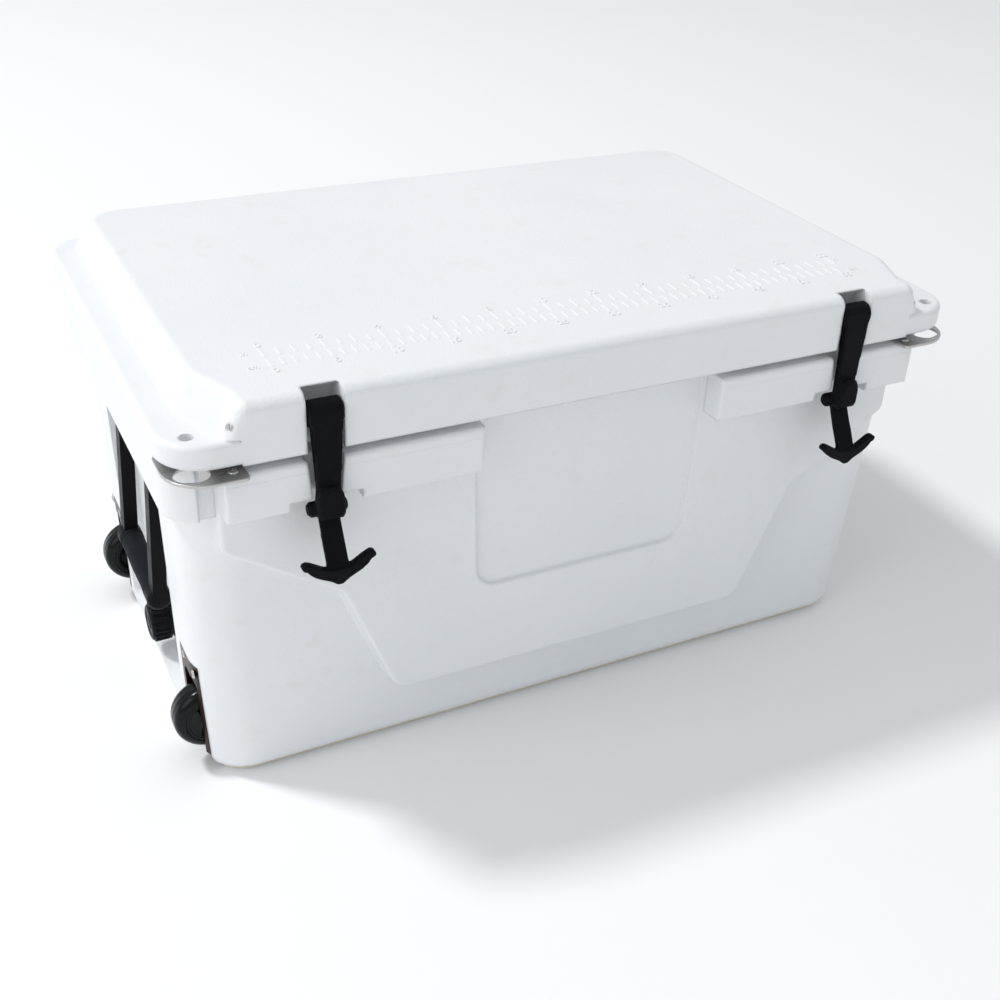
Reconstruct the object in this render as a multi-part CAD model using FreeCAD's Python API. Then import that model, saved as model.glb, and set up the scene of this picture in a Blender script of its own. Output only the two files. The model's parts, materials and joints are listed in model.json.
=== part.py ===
import FreeCAD, Part
import math
import os

# Wheeled cooler box.  Millimetres, +Z up, ground at Z = 0.
# X runs along the box (wheels at -X), Y runs front (-) to back (+).

# ---- overall sizes ----
lid_length = 754.6
lid_depth = 472.0
rim_top_z = 340.0
lid_gap = 9.0
lid_flange_height = 22.0
lid_platform_height = 29.0

# ---- tub ----
end_overhang = 16.3
side_overhang = 32.0
end_draft = 6.0
side_draft = 17.0
tub_corner_radius = 45.0
tub_bottom_rounding = 20.0
skin = 5.0
wall = 52.0
floor_height = 45.0
cavity_corner_radius = 38.0
cavity_taper = 17.0

# ---- rim band, keepers and front panel ----
band_proud_end = 12.0
band_proud_side = 5.0
band_height = 50.0
band_corner_radius = 30.0
band_front_gap = 14.0
keeper_inner_x = 116.0
keeper_end_gap = 44.3
keeper_face_inset = 2.0
keeper_height = 42.0
keeper_rounding = 4.0
keeper_hook_rise = 9.0
panel_proud = 6.0
panel_shoulder_drop = 82.0
panel_waist_drop = 147.0
panel_waist_inset = 99.0
panel_bottom_inset = 148.5
panel_bottom_z = 72.0
panel_corner_radius = 20.0
panel_rounding = 4.0
panel_foot_rounding = 4.0
inset_depth = 4.0
inset_side_gap = 2.0
inset_draw = 7.0
inset_height = 177.0
inset_rounding = 1.5

# ---- end recess for the handle ----
recess_side_wall = 17.0
recess_depth = 23.0
recess_bottom_z = 24.0
recess_corner_radius = 14.0
recess_floor_rounding = 8.0

# ---- lid ----
lid_corner_radius = 40.0
lid_edge_rounding = 5.0
platform_top_inset = 39.7
platform_base_inset = 22.3
platform_back_step = 8.0
platform_top_rounding = 10.0
block_top_inset = 59.3
block_base_inset = 46.3
lid_skin = 4.5
lid_crown = 6.5
lid_pan = 8.0
lid_space_outset = 20.0
plug_depth = 20.0
plug_clearance = 6.0
padlock_hole_radius = 5.5
padlock_hole_end = 23.3
padlock_hole_front = 20.0
gasket_width = 10.0
gasket_groove_depth = 3.5
gasket_clearance = 0.4
gasket_outset = 16.0

# ---- latches ----
latch_end_gap = 124.8
latch_width = 29.0
latch_side_clearance = 0.75
latch_strap_width = 26.0
latch_waist_width = 18.5
latch_waist_rise = 24.0
latch_notch_gap = 1.5
latch_pin_radius = 3.0
latch_pin_drop = 20.0
latch_pin_inset = 6.0
latch_pin_overrun = 14.0
latch_knuckle_radius = 10.5
latch_slot_radius = 21.0
latch_strap_thickness = 8.0
latch_bar_drop = 84.0
latch_bar_radius = 6.5
latch_bar_half = 18.0
latch_bar_outset = 1.0
latch_bar_clearance = 12.0
latch_tail_length = 50.0
latch_tail_outset = 24.0
latch_anchor_half = 31.0
latch_anchor_rise = 17.5
latch_anchor_dip = 7.0
latch_boss_half = 11.5
latch_boss_depth = 16.0
latch_boss_rise = 25.0
latch_boss_drop = 5.0
latch_boss_rounding = 4.0
pin_fit = 0.05

# ---- corner plates ----
plate_thickness = 2.5
plate_front_outset = 7.0
plate_end_inset = 2.3
plate_front_leg = 60.5
plate_end_leg = 60.0
plate_end_width = 24.0
plate_front_width = 40.0
plate_corner_radius = 34.0
plate_hole_offset = 6.5
plate_hole_half_length = 14.0
plate_hole_half_width = 11.0
plate_hole_slant = -20.0
plate_tab_width = 9.0
plate_tab_depth = 9.0
plate_tab_drop = 9.0
plate_screw_inset = 9.5
plate_front_screw_inset = 14.0
plate_rear_screw_inset = 13.0

# ---- bail handles ----
handle_pivot_drop = 18.0
handle_pivot_wall_gap = 13.0
handle_drop = 146.0
handle_lean = 9.0
handle_arm_inner_y = 50.0
handle_arm_thickness_y = 16.0
handle_arm_thickness_x = 13.0
handle_grip_radius = 11.5
handle_core_radius = 7.5
handle_rod_radius = 4.0
handle_ear_radius = 8.0
handle_ear_thickness = 10.0
handle_ear_gap = 1.0
handle_mount_plate = 5.0
handle_mount_margin = 2.0
handle_screw_y = 36.0

# ---- wheels ----
wheel_radius = 32.0
wheel_width = 28.0
wheel_axle_z = 51.0
wheel_protrusion = 21.0
wheel_side_inset = 42.5
wheel_side_gap = 2.0
wheel_well_gap = 2.5
hub_radius = 23.0
hub_inset = 2.0
hub_boss_radius = 9.0
axle_radius = 5.0
axle_fit = 0.05
bracket_inner_margin = 3.0
bracket_outer_margin = 1.0
bracket_top_z = 118.0
bracket_bottom_z = 18.0
bracket_plate = 4.0
bracket_arch_gap = 18.0
cheek_thickness = 4.5
well_clearance = 0.6

# ---- drain ----
drain_z = 57.0
drain_bore_radius = 9.0
drain_tube_radius = 12.0
drain_flange_radius = 19.0
drain_flange = 3.0
drain_cap_radius = 20.0
drain_cap_length = 19.0
drain_rib_count = 20
drain_gasket_thickness = 2.0
drain_stem_clearance = 0.4

# ---- hinges ----
hinge_end_gap = 152.3
hinge_half_width = 45.0
hinge_axis_outset = 10.0
hinge_axis_drop = 5.0
hinge_knuckle_radius = 7.0
hinge_pin_radius = 3.0
hinge_leaf = 4.0
hinge_play = 0.6
rear_block_half_width = 62.0
rear_block_inset = 4.0

# ---- screws ----
screw_shank_radius = 2.0
screw_head_radius = 4.5
screw_head_height = 2.0
screw_length = 12.0

# ---- worked out from the sizes above ----
lid_half_x = lid_length / 2
lid_half_y = lid_depth / 2
lid_bottom_z = rim_top_z + lid_gap
ledge_z = lid_bottom_z + lid_flange_height
lid_top_z = ledge_z + lid_platform_height
top_half_x = lid_half_x - end_overhang
top_half_y = lid_half_y - side_overhang
bottom_half_x = top_half_x - end_draft
bottom_half_y = top_half_y - side_draft
band_bottom_z = rim_top_z - band_height
band_half_x = top_half_x + band_proud_end
band_half_y = top_half_y + band_proud_side
cavity_half_x = top_half_x - wall
cavity_half_y = top_half_y - wall
keeper_outer_x = lid_half_x - keeper_end_gap
keeper_face_y = lid_half_y - keeper_face_inset
keeper_bottom_z = rim_top_z - keeper_height
panel_face_y = top_half_y + panel_proud
panel_top_half = keeper_outer_x + 1
inset_top_half = keeper_inner_x - inset_side_gap
inset_bottom_z = rim_top_z - inset_height
platform_top_half = lid_half_x - platform_top_inset
platform_base_half = lid_half_x - platform_base_inset
block_top_half = lid_half_x - block_top_inset
block_base_half = lid_half_x - block_base_inset
padlock_hole_x = lid_half_x - padlock_hole_end
padlock_hole_y = lid_half_y - padlock_hole_front
latch_x = lid_half_x - latch_end_gap
latch_slot_half = latch_width / 2 + latch_side_clearance
latch_pin_y = -(lid_half_y - latch_pin_inset)
latch_pin_z = lid_top_z - latch_pin_drop
latch_notch_back_y = latch_pin_y + latch_knuckle_radius + 2 * latch_side_clearance
bar_z = latch_pin_z - latch_bar_drop
bar_y = latch_pin_y - latch_bar_outset
plate_front_y = lid_half_y + plate_front_outset
plate_end_x = lid_half_x - plate_end_inset
plate_inner_x = plate_end_x - plate_front_leg
plate_leg_y = plate_front_y - plate_end_leg
plate_hole_y = padlock_hole_y + plate_hole_offset
recess_wall_x = top_half_x - recess_depth
handle_pivot_x = recess_wall_x + handle_pivot_wall_gap
handle_pivot_z = band_bottom_z - handle_pivot_drop
handle_grip_x = handle_pivot_x + handle_lean
handle_grip_z = handle_pivot_z - handle_drop
handle_ear_start = handle_arm_inner_y + handle_arm_thickness_y + handle_ear_gap
handle_ear_end = handle_ear_start + handle_ear_thickness
wheel_axle_x = bottom_half_x + wheel_protrusion - wheel_radius
wheel_mid_y = bottom_half_y - wheel_side_inset
cheek_half = wheel_width / 2 + wheel_side_gap + cheek_thickness
bracket_inner_y = wheel_mid_y - cheek_half - bracket_inner_margin
bracket_outer_y = wheel_mid_y + cheek_half + bracket_outer_margin
bracket_arch_top_z = bracket_top_z - bracket_arch_gap
recess_half_width = bracket_inner_y - recess_side_wall
hinge_x = lid_half_x - hinge_end_gap
rear_block_face_y = lid_half_y - rear_block_inset
hinge_axis_y = lid_half_y + hinge_axis_outset
hinge_axis_z = lid_bottom_z - hinge_axis_drop
axis_x = FreeCAD.Vector(1, 0, 0)
axis_y = FreeCAD.Vector(0, 1, 0)
axis_z = FreeCAD.Vector(0, 0, 1)


def vec(x, y, z):
    return FreeCAD.Vector(x, y, z)


def block(x0, x1, y0, y1, z0, z1):
    """Box between two opposite corners."""
    return Part.makeBox(x1 - x0, y1 - y0, z1 - z0, vec(x0, y0, z0))


def rod(start, direction, radius, length):
    """Cylinder from a start point along a direction."""
    return Part.makeCylinder(radius, length, start, direction)


def mirror_x(shape):
    """The same piece on the other end of the box."""
    return shape.mirror(vec(0, 0, 0), axis_x)


def mirror_y(shape):
    """The same piece on the other side, front to back."""
    return shape.mirror(vec(0, 0, 0), axis_y)


def fuse(shapes):
    """One solid from pieces that overlap or share a face."""
    first = shapes[0]
    return first.fuse(shapes[1:]).removeSplitter()


def outline(points, radii):
    """Closed wire through corner points, each corner rounded by its radius."""
    count = len(points)
    tangents = []
    for i in range(count):
        corner = points[i]
        before = (points[i - 1] - corner).normalize()
        after = (points[(i + 1) % count] - corner).normalize()
        half_angle = before.getAngle(after) / 2
        reach = radii[i] / math.tan(half_angle)
        middle = (before + after).normalize()
        centre = corner + middle * (radii[i] / math.sin(half_angle))
        top = centre - middle * radii[i]
        tangents.append((corner + before * reach, top, corner + after * reach))
    edges = []
    for i in range(count):
        start, top, end = tangents[i]
        if radii[i] > 0:
            edges.append(Part.Arc(start, top, end).toShape())
        next_start = tangents[(i + 1) % count][0]
        edges.append(Part.makeLine(end, next_start))
    return Part.Wire(edges)


def rectangle(half_x, half_y, z, radius):
    """Rounded rectangle about the Z axis."""
    corners = [(-1, -1), (1, -1), (1, 1), (-1, 1)]
    points = [vec(sx * half_x, sy * half_y, z) for sx, sy in corners]
    return outline(points, [radius] * 4)


def slab(half_x, half_y, z0, z1, radius):
    """Straight block with rounded upright edges."""
    face = Part.Face(rectangle(half_x, half_y, z0, radius))
    return face.extrude(vec(0, 0, z1 - z0))


def tapered(bottom, top):
    """Solid between two matching wires."""
    return Part.makeLoft([bottom, top], True, True)


def upright(middle, half, y0, y1):
    """Symmetric plate between two depths, from its half widths and heights."""
    right = [vec(middle + x, y0, z) for x, z in half]
    left = [vec(middle - x, y0, z) for x, z in reversed(half)]
    face = Part.Face(Part.makePolygon(right + left + [right[0]]))
    return face.extrude(vec(0, y1 - y0, 0))


def edges_where(shape, test):
    """Edges whose middle point passes the test."""
    found = []
    for edge in shape.Edges:
        middle = edge.valueAt((edge.FirstParameter + edge.LastParameter) / 2)
        if test(middle):
            found.append(edge)
    return found


def tub_half_at(z):
    """Half length and half depth of the tub's outside at a height."""
    share = z / rim_top_z
    half_x = bottom_half_x + (top_half_x - bottom_half_x) * share
    half_y = bottom_half_y + (top_half_y - bottom_half_y) * share
    return half_x, half_y


def tub_outside(inset, z0, z1):
    """Tapered tub outline, drawn in by an inset."""
    wires = []
    for z in (z0, z1):
        half_x, half_y = tub_half_at(z)
        wires.append(rectangle(half_x - inset, half_y - inset, z, tub_corner_radius - inset))
    return tapered(wires[0], wires[1])


def tub_cavity(outset, z0, z1):
    """Space inside the liner between two heights, grown by an outset."""
    wires = []
    for z in (z0, z1):
        drawn = cavity_taper * (rim_top_z - z) / (rim_top_z - floor_height) - outset
        wires.append(rectangle(cavity_half_x - drawn, cavity_half_y - drawn, z,
                               cavity_corner_radius + outset))
    space = tapered(wires[0], wires[1])
    return space


def front_panel():
    """Raised six-sided panel on the front wall."""
    half = [(panel_top_half, rim_top_z - 1),
            (panel_top_half, rim_top_z - panel_shoulder_drop),
            (keeper_outer_x - panel_waist_inset, rim_top_z - panel_waist_drop),
            (keeper_outer_x - panel_bottom_inset, panel_bottom_z)]
    right = [vec(x, -panel_face_y, z) for x, z in half]
    left = [vec(-p.x, p.y, p.z) for p in reversed(right)]
    radii = [0, panel_corner_radius / 2, panel_corner_radius / 2, panel_corner_radius]
    wire = outline(right + left, radii + list(reversed(radii)))
    panel = Part.Face(wire).extrude(vec(0, panel_face_y - cavity_half_y - wall / 2, 0))
    front = edges_where(panel, lambda p: p.y < -panel_face_y + 0.1)
    return panel.makeFillet(panel_rounding, front)


def front_inset():
    """Shallow inset in the middle of the front panel, open at the top."""
    right = [vec(inset_top_half, -panel_face_y, rim_top_z + 1),
             vec(inset_top_half - inset_draw, -panel_face_y, inset_bottom_z)]
    left = [vec(-p.x, p.y, p.z) for p in reversed(right)]
    radii = [0, panel_corner_radius, panel_corner_radius, 0]
    face = Part.Face(outline(right + left, radii))
    face.translate(vec(0, -lid_gap, 0))
    return face.extrude(vec(0, lid_gap + inset_depth, 0))


def keeper():
    """Block under the lid that the latch hooks below, with its notches."""
    body = block(keeper_inner_x, keeper_outer_x, -keeper_face_y, -cavity_half_y - wall / 2,
                 keeper_bottom_z, rim_top_z)
    front = edges_where(body, lambda p: p.y < -keeper_face_y + 1)
    body = body.makeFillet(keeper_rounding, front)
    low_half = latch_waist_width / 2 + latch_notch_gap
    notch = upright(latch_x, [(latch_slot_half, rim_top_z + 1), (low_half, keeper_bottom_z - 1)],
                    -keeper_face_y - 1, latch_notch_back_y)
    hook_half = latch_bar_half + latch_bar_clearance
    hook = block(latch_x - hook_half, latch_x + hook_half, -keeper_face_y - 1,
                 -panel_face_y, keeper_bottom_z - 1, keeper_bottom_z + keeper_hook_rise)
    return body.cut(notch).cut(hook)


def rim_band():
    """Proud band round the top of the tub, left out where the front panel is."""
    band = slab(band_half_x, band_half_y, band_bottom_z, rim_top_z, band_corner_radius)
    lower = edges_where(band, lambda p: p.z < band_bottom_z + 0.1)
    band = band.makeFillet(3.0, lower)
    clear = panel_top_half + band_front_gap
    gap = block(-clear, clear, -band_half_y - 1, -top_half_y + 1, band_bottom_z - 1,
                rim_top_z + 1)
    return band.cut(gap)


def rear_block(side):
    """Block at the back that a hinge is screwed to."""
    middle = side * hinge_x
    return block(middle - rear_block_half_width, middle + rear_block_half_width,
                 cavity_half_y + wall / 2, rear_block_face_y, keeper_bottom_z, rim_top_z)


def end_recess(grow):
    """Recess in the -X end for the handle and the drain."""
    points = [vec(0, -recess_half_width - grow, recess_bottom_z - grow),
              vec(0, recess_half_width + grow, recess_bottom_z - grow),
              vec(0, recess_half_width + grow, band_bottom_z + grow),
              vec(0, -recess_half_width - grow, band_bottom_z + grow)]
    face = Part.Face(outline(points, [recess_corner_radius] * 4))
    face.translate(vec(-recess_wall_x + grow, 0, 0))
    return face.extrude(vec(-wall, 0, 0))


def wheel_well(grow):
    """Pocket for the front wheel and its bracket, open below."""
    half = cheek_half + well_clearance
    depth_x = wheel_axle_x - wheel_radius - wheel_well_gap
    deep = block(-lid_half_x, -depth_x + grow, -wheel_mid_y - half - grow,
                 -wheel_mid_y + half + grow, -1, bracket_arch_top_z + grow)
    edge = well_clearance / 2
    seat_x = tub_half_at(bracket_top_z)[0] - 3 * bracket_plate
    seat = block(-lid_half_x, -seat_x + grow, -bracket_outer_y - edge - grow,
                 -bracket_inner_y + edge + grow, -1, bracket_top_z + edge + grow)
    return deep.fuse(seat)


def drain_hole(radius):
    """Round way through the -X end wall at the floor."""
    return rod(vec(-lid_half_x, 0, drain_z), axis_x, radius, wall + lid_half_x - top_half_x + 40)


def tub_cuts(grow):
    """Everything taken out of the tub from outside."""
    return [end_recess(grow), mirror_x(end_recess(grow)), wheel_well(grow),
            mirror_y(wheel_well(grow)), drain_hole(drain_tube_radius)]


def tub_inside():
    """Everything within the outer skin: foam, liner and cavity, open at the top."""
    return tub_outside(skin, skin, rim_top_z + 1).cut(tub_cuts(skin))


def tub_foam():
    """Foam core between the outer skin and the liner, below the liner's rim."""
    core = tub_inside().cut(tub_cavity(skin, floor_height - skin, rim_top_z + 1))
    lid_of_core = block(-lid_half_x, lid_half_x, -lid_half_y, lid_half_y, rim_top_z - skin,
                        rim_top_z + 2)
    return core.cut([lid_of_core, drain_hole(drain_tube_radius)])


def tub_liner():
    """Inner tub with the rim that closes the foam space."""
    rim = tub_inside().common(block(-lid_half_x, lid_half_x, -lid_half_y, lid_half_y,
                                    rim_top_z - skin, rim_top_z))
    walls = tub_cavity(skin, floor_height - skin, rim_top_z)
    liner = fuse([rim, walls]).cut(tub_cavity(0, floor_height, rim_top_z + 1))
    return liner.cut(drain_hole(drain_tube_radius))


def tub_blank():
    """Tub outside with its rounded foot."""
    tub = tub_outside(0, 0, rim_top_z)
    foot = edges_where(tub, lambda p: p.z < 0.1)
    return tub.makeFillet(tub_bottom_rounding, foot)


def tub_shell():
    """Outer skin of the tub with its keepers, panels, wheel wells and recesses."""
    adds = [tub_blank(), rim_band(), front_panel(), keeper(), mirror_x(keeper()),
            rear_block(-1), rear_block(1)]
    body = fuse(adds)
    foot = edges_where(body, at_panel_foot)
    body = body.makeFillet(panel_foot_rounding, foot)
    body = body.cut(front_inset())
    body = body.makeFillet(inset_rounding, edges_where(body, at_inset_edge))
    body = body.cut([end_recess(0), mirror_x(end_recess(0))])
    body = body.makeFillet(recess_floor_rounding, edges_where(body, at_recess_floor))
    return body.cut(tub_cuts(0) + [tub_inside()])


def at_panel_foot(p):
    """Whether a point is where the front panel's sides meet the wall."""
    wall_y = tub_half_at(p.z)[1]
    low = panel_bottom_z - 1 < p.z < rim_top_z - panel_shoulder_drop + 3
    return p.y < 0 and low and abs(p.y + wall_y) < 0.3 and abs(p.x) < panel_top_half + 1


def at_inset_edge(p):
    """Whether a point is on the rim or the floor's edge of the panel's inset."""
    level = min(abs(p.y + panel_face_y), abs(p.y + panel_face_y - inset_depth))
    inside = abs(p.x) < inset_top_half + 0.2 and inset_bottom_z - 0.5 < p.z < rim_top_z - 1
    return p.y < 0 and level < 0.2 and inside


def at_recess_floor(p):
    """Whether a point is on the edge of an end recess's wall."""
    return abs(abs(p.x) - recess_wall_x) < 0.3 and abs(p.y) <= recess_half_width + 0.5


def lid_plan(z, block_half, block_back, side_half, side_front, back):
    """Outline of the raised part of the lid at one height."""
    half = [(block_half, -lid_half_y), (block_half, block_back), (side_half, side_front),
            (side_half, back)]
    right = [vec(x, y, z) for x, y in half]
    left = [vec(-p.x, p.y, p.z) for p in reversed(right)]
    radii = [11.0, 14.0, 40.0, 34.0]
    return outline(right + left, radii + list(reversed(radii)))


def lid_platform(inset, z0, z1):
    """Raised part of the lid between two heights, drawn in by an inset."""
    wires = []
    for z in (z0, z1):
        share = (z - ledge_z) / lid_platform_height
        block_half = block_base_half + (block_top_half - block_base_half) * share - inset
        side_half = platform_base_half + (platform_top_half - platform_base_half) * share - inset
        block_back = -lid_half_y + 18 + 6 * share + inset
        side_front = -lid_half_y + 62 + 11 * share + inset
        back = lid_half_y - platform_back_step * (0.6 + 0.9 * share) - inset
        wires.append(lid_plan(z, block_half, block_back, side_half, side_front, back))
    return tapered(wires[0], wires[1])


def latch_slot(side):
    """Slot in the lid's front edge that a latch turns in."""
    x0 = side * latch_x - latch_slot_half
    width = 2 * latch_slot_half
    scoop = rod(vec(x0, latch_pin_y, latch_pin_z), axis_x, latch_slot_radius, width)
    lower = block(x0, x0 + width, -lid_half_y - 1, latch_notch_back_y,
                  lid_bottom_z - 1, latch_pin_z)
    return scoop.fuse(lower)


def pin_hole(side, radius):
    """Hole for a latch pin, from the side of the front block past the slot."""
    start = side * (latch_x - latch_slot_half - latch_pin_overrun)
    length = block_base_half - latch_x + latch_slot_half + latch_pin_overrun
    return rod(vec(start, latch_pin_y, latch_pin_z), axis_x * side, radius, length)


def lid_blank():
    """Lid outside: flange and raised top."""
    flange = slab(lid_half_x, lid_half_y, lid_bottom_z, ledge_z, lid_corner_radius)
    rims = edges_where(flange, lambda p: abs(p.z - ledge_z) < 0.1 or abs(p.z - lid_bottom_z) < 0.1)
    flange = flange.makeFillet(lid_edge_rounding, rims)
    raised = lid_platform(0, ledge_z, lid_top_z)
    crown = edges_where(raised, lambda p: abs(p.z - lid_top_z) < 0.1)
    raised = raised.makeFillet(platform_top_rounding, crown)
    front = block(-block_top_half, block_top_half, -lid_half_y, -lid_half_y + 20,
                  lid_bottom_z, ledge_z + 1)
    return fuse([flange, raised, front])


def gasket_ring(grow, z0, z1):
    """Ring round the mouth of the tub."""
    outer = slab(cavity_half_x + gasket_outset + grow, cavity_half_y + gasket_outset + grow,
                 z0, z1, cavity_corner_radius)
    reach = gasket_outset - gasket_width - grow
    inner = slab(cavity_half_x + reach, cavity_half_y + reach, z0 - 1, z1 + 1,
                 cavity_corner_radius - gasket_width)
    return outer.cut(inner)


def lid_space(z0, z1):
    """Space inside the lid's top shell between two heights."""
    return slab(cavity_half_x + lid_space_outset, cavity_half_y + lid_space_outset, z0, z1,
                cavity_corner_radius)


def lid_plug(inset, z0, z1):
    """Plug that enters the mouth of the tub."""
    reach = plug_clearance + inset
    return slab(cavity_half_x - reach, cavity_half_y - reach, z0, z1,
                cavity_corner_radius - plug_clearance)


def lid_liner():
    """Underside of the lid: pan with the seal's groove and the hollow plug."""
    pan = lid_space(lid_bottom_z, lid_bottom_z + lid_pan)
    plug = lid_plug(0, lid_bottom_z - plug_depth, lid_bottom_z + 1)
    groove = gasket_ring(0, lid_bottom_z, lid_bottom_z + gasket_groove_depth)
    inside = lid_plug(lid_skin, lid_bottom_z - plug_depth + lid_skin, lid_bottom_z + lid_pan)
    return fuse([pan, plug]).cut([groove, inside])


def lid_foam():
    """Foam core of the lid."""
    core = lid_space(lid_bottom_z + lid_pan, lid_top_z - lid_crown)
    inside = lid_plug(lid_skin, lid_bottom_z - plug_depth + lid_skin, lid_bottom_z + lid_pan)
    return fuse([core, inside])


def lid_shell():
    """Top shell of the lid, with its slots, pin holes and padlock holes."""
    cuts = [lid_space(lid_bottom_z - 1, lid_top_z - lid_crown)]
    for side in (-1, 1):
        cuts.append(latch_slot(side))
        cuts.append(pin_hole(side, latch_pin_radius))
        cuts.append(rod(vec(side * padlock_hole_x, -padlock_hole_y, lid_bottom_z - 1), axis_z,
                        padlock_hole_radius, lid_flange_height + 2))
    return lid_blank().cut(cuts)


def lid_gasket():
    """Rubber seal seated in the lid's groove, just clear of the rim."""
    return gasket_ring(0, rim_top_z + gasket_clearance, lid_bottom_z + gasket_groove_depth)


def latch_pin(side):
    """Steel pin that a latch turns on."""
    start_x = latch_x - latch_slot_half - latch_pin_overrun
    end_x = (block_base_half + block_top_half) / 2
    return rod(vec(side * start_x, latch_pin_y, latch_pin_z), axis_x * side, latch_pin_radius,
               end_x - start_x)


def latch(side):
    """Rubber T-latch: knuckle, strap, cross bar, tail and anchor-shaped pull."""
    middle = side * latch_x
    half = latch_width / 2
    knuckle = rod(vec(middle - half, latch_pin_y, latch_pin_z), axis_x, latch_knuckle_radius,
                  latch_width)
    back_y = latch_pin_y - latch_knuckle_radius + latch_strap_thickness
    waist = latch_waist_width / 2
    face_y = back_y - latch_strap_thickness
    strap = upright(middle, [(latch_strap_width / 2, latch_pin_z),
                             (waist, bar_z + latch_waist_rise), (waist, bar_z)], face_y, back_y)
    boss = block(middle - latch_boss_half, middle + latch_boss_half, bar_y - latch_boss_depth,
                 -keeper_face_y - latch_side_clearance, bar_z - latch_boss_drop,
                 bar_z + latch_boss_rise)
    boss = boss.makeFillet(latch_boss_rounding, edges_where(boss, lambda p: p.y < -keeper_face_y - 2))
    bar = rod(vec(middle - latch_bar_half, bar_y, bar_z), axis_x, latch_bar_radius,
              2 * latch_bar_half)
    ends = edges_where(bar, lambda p: abs(abs(p.x - middle) - latch_bar_half) < 0.1)
    bar = bar.makeFillet(latch_bar_radius * 0.6, ends)
    tip = vec(middle, bar_y - latch_tail_outset, bar_z - latch_tail_length)
    run = tip - vec(middle, bar_y, bar_z)
    tail = Part.makeBox(latch_waist_width, latch_strap_thickness, run.Length)
    tail.translate(vec(-waist, -latch_strap_thickness / 2, 0))
    turn = FreeCAD.Rotation(vec(0, 0, 1), run)
    tail.Placement = FreeCAD.Placement(vec(middle, bar_y, bar_z), turn).multiply(tail.Placement)
    anchor = anchor_pull(middle, tip)
    solid = fuse([knuckle, strap, boss, bar, tail, anchor])
    return solid.cut(pin_hole(side, latch_pin_radius + pin_fit))


def anchor_pull(middle, tip):
    """Curved arms of the anchor, rising at both ends."""
    left = vec(-latch_anchor_half, 0, latch_anchor_rise)
    right = vec(latch_anchor_half, 0, latch_anchor_rise)
    outer = Part.Arc(left, vec(0, 0, -latch_anchor_dip), right)
    inner = Part.Arc(right, vec(0, 0, latch_anchor_dip), left)
    face = Part.Face(Part.Wire([outer.toShape(), inner.toShape()]))
    face.translate(vec(middle, tip.y + latch_strap_thickness / 2, tip.z))
    return face.extrude(vec(0, -latch_strap_thickness, 0))


def corner_plate():
    """Steel plate on the front left rim corner, with its oval hole and opener tab."""
    z = rim_top_z
    inner_y = -plate_front_y + plate_front_width
    inner_x = -plate_end_x + plate_end_width
    points = [vec(-plate_inner_x, -plate_front_y, z), vec(-plate_end_x, -plate_front_y, z),
              vec(-plate_end_x, -plate_leg_y, z), vec(inner_x, -plate_leg_y, z),
              vec(inner_x, inner_y, z), vec(-plate_inner_x, inner_y, z)]
    radii = [4.0, plate_corner_radius, 4.0, 4.0, 8.0, 4.0]
    plate = Part.Face(outline(points, radii)).extrude(vec(0, 0, plate_thickness))
    plate = plate.cut(plate_hole(plate_thickness + 2))
    holes = [rod(vec(x, y, z - 1), axis_z, screw_shank_radius, plate_thickness + 2)
             for x, y in plate_screw_spots()]
    return fuse([plate, opener_tab()]).cut(holes)


def plate_hole(height):
    """Slanted oval under the lid's padlock hole."""
    straight = plate_hole_half_length - plate_hole_half_width
    bar = block(-straight, straight, -plate_hole_half_width, plate_hole_half_width, 0, height)
    ends = [rod(vec(s * straight, 0, 0), axis_z, plate_hole_half_width, height) for s in (-1, 1)]
    oval = fuse([bar] + ends)
    oval.rotate(vec(0, 0, 0), axis_z, plate_hole_slant)
    oval.translate(vec(-padlock_hole_x, -plate_hole_y, rim_top_z - 1))
    return oval


def opener_tab():
    """Lip bent down from the inner edge of the oval hole, beside the padlock's way."""
    x0 = -padlock_hole_x + padlock_hole_radius + 1
    x1 = x0 + plate_tab_width
    root_y = -plate_hole_y + plate_hole_half_width + 3
    edge_y = root_y - plate_tab_depth
    flat = block(x0, x1, edge_y, root_y, rim_top_z, rim_top_z + plate_thickness)
    lip = block(x0, x1, edge_y, edge_y + plate_thickness, rim_top_z - plate_tab_drop,
                rim_top_z + plate_thickness)
    return flat.fuse(lip)


def plate_screw_spots():
    """Where the screws of the left plate stand."""
    return [(-plate_inner_x - plate_screw_inset, -plate_front_y + plate_front_screw_inset),
            (-plate_end_x + plate_rear_screw_inset, -plate_leg_y - plate_screw_inset)]


def screw(point, direction):
    """Screw with a low round head; the point is under the head."""
    head = rod(point, direction, screw_head_radius, screw_head_height)
    rim = head.Edges[0]
    head = head.makeFillet(screw_head_height * 0.4, [rim])
    shank = rod(point, direction * -1, screw_shank_radius, screw_length)
    return head.fuse(shank)


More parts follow.
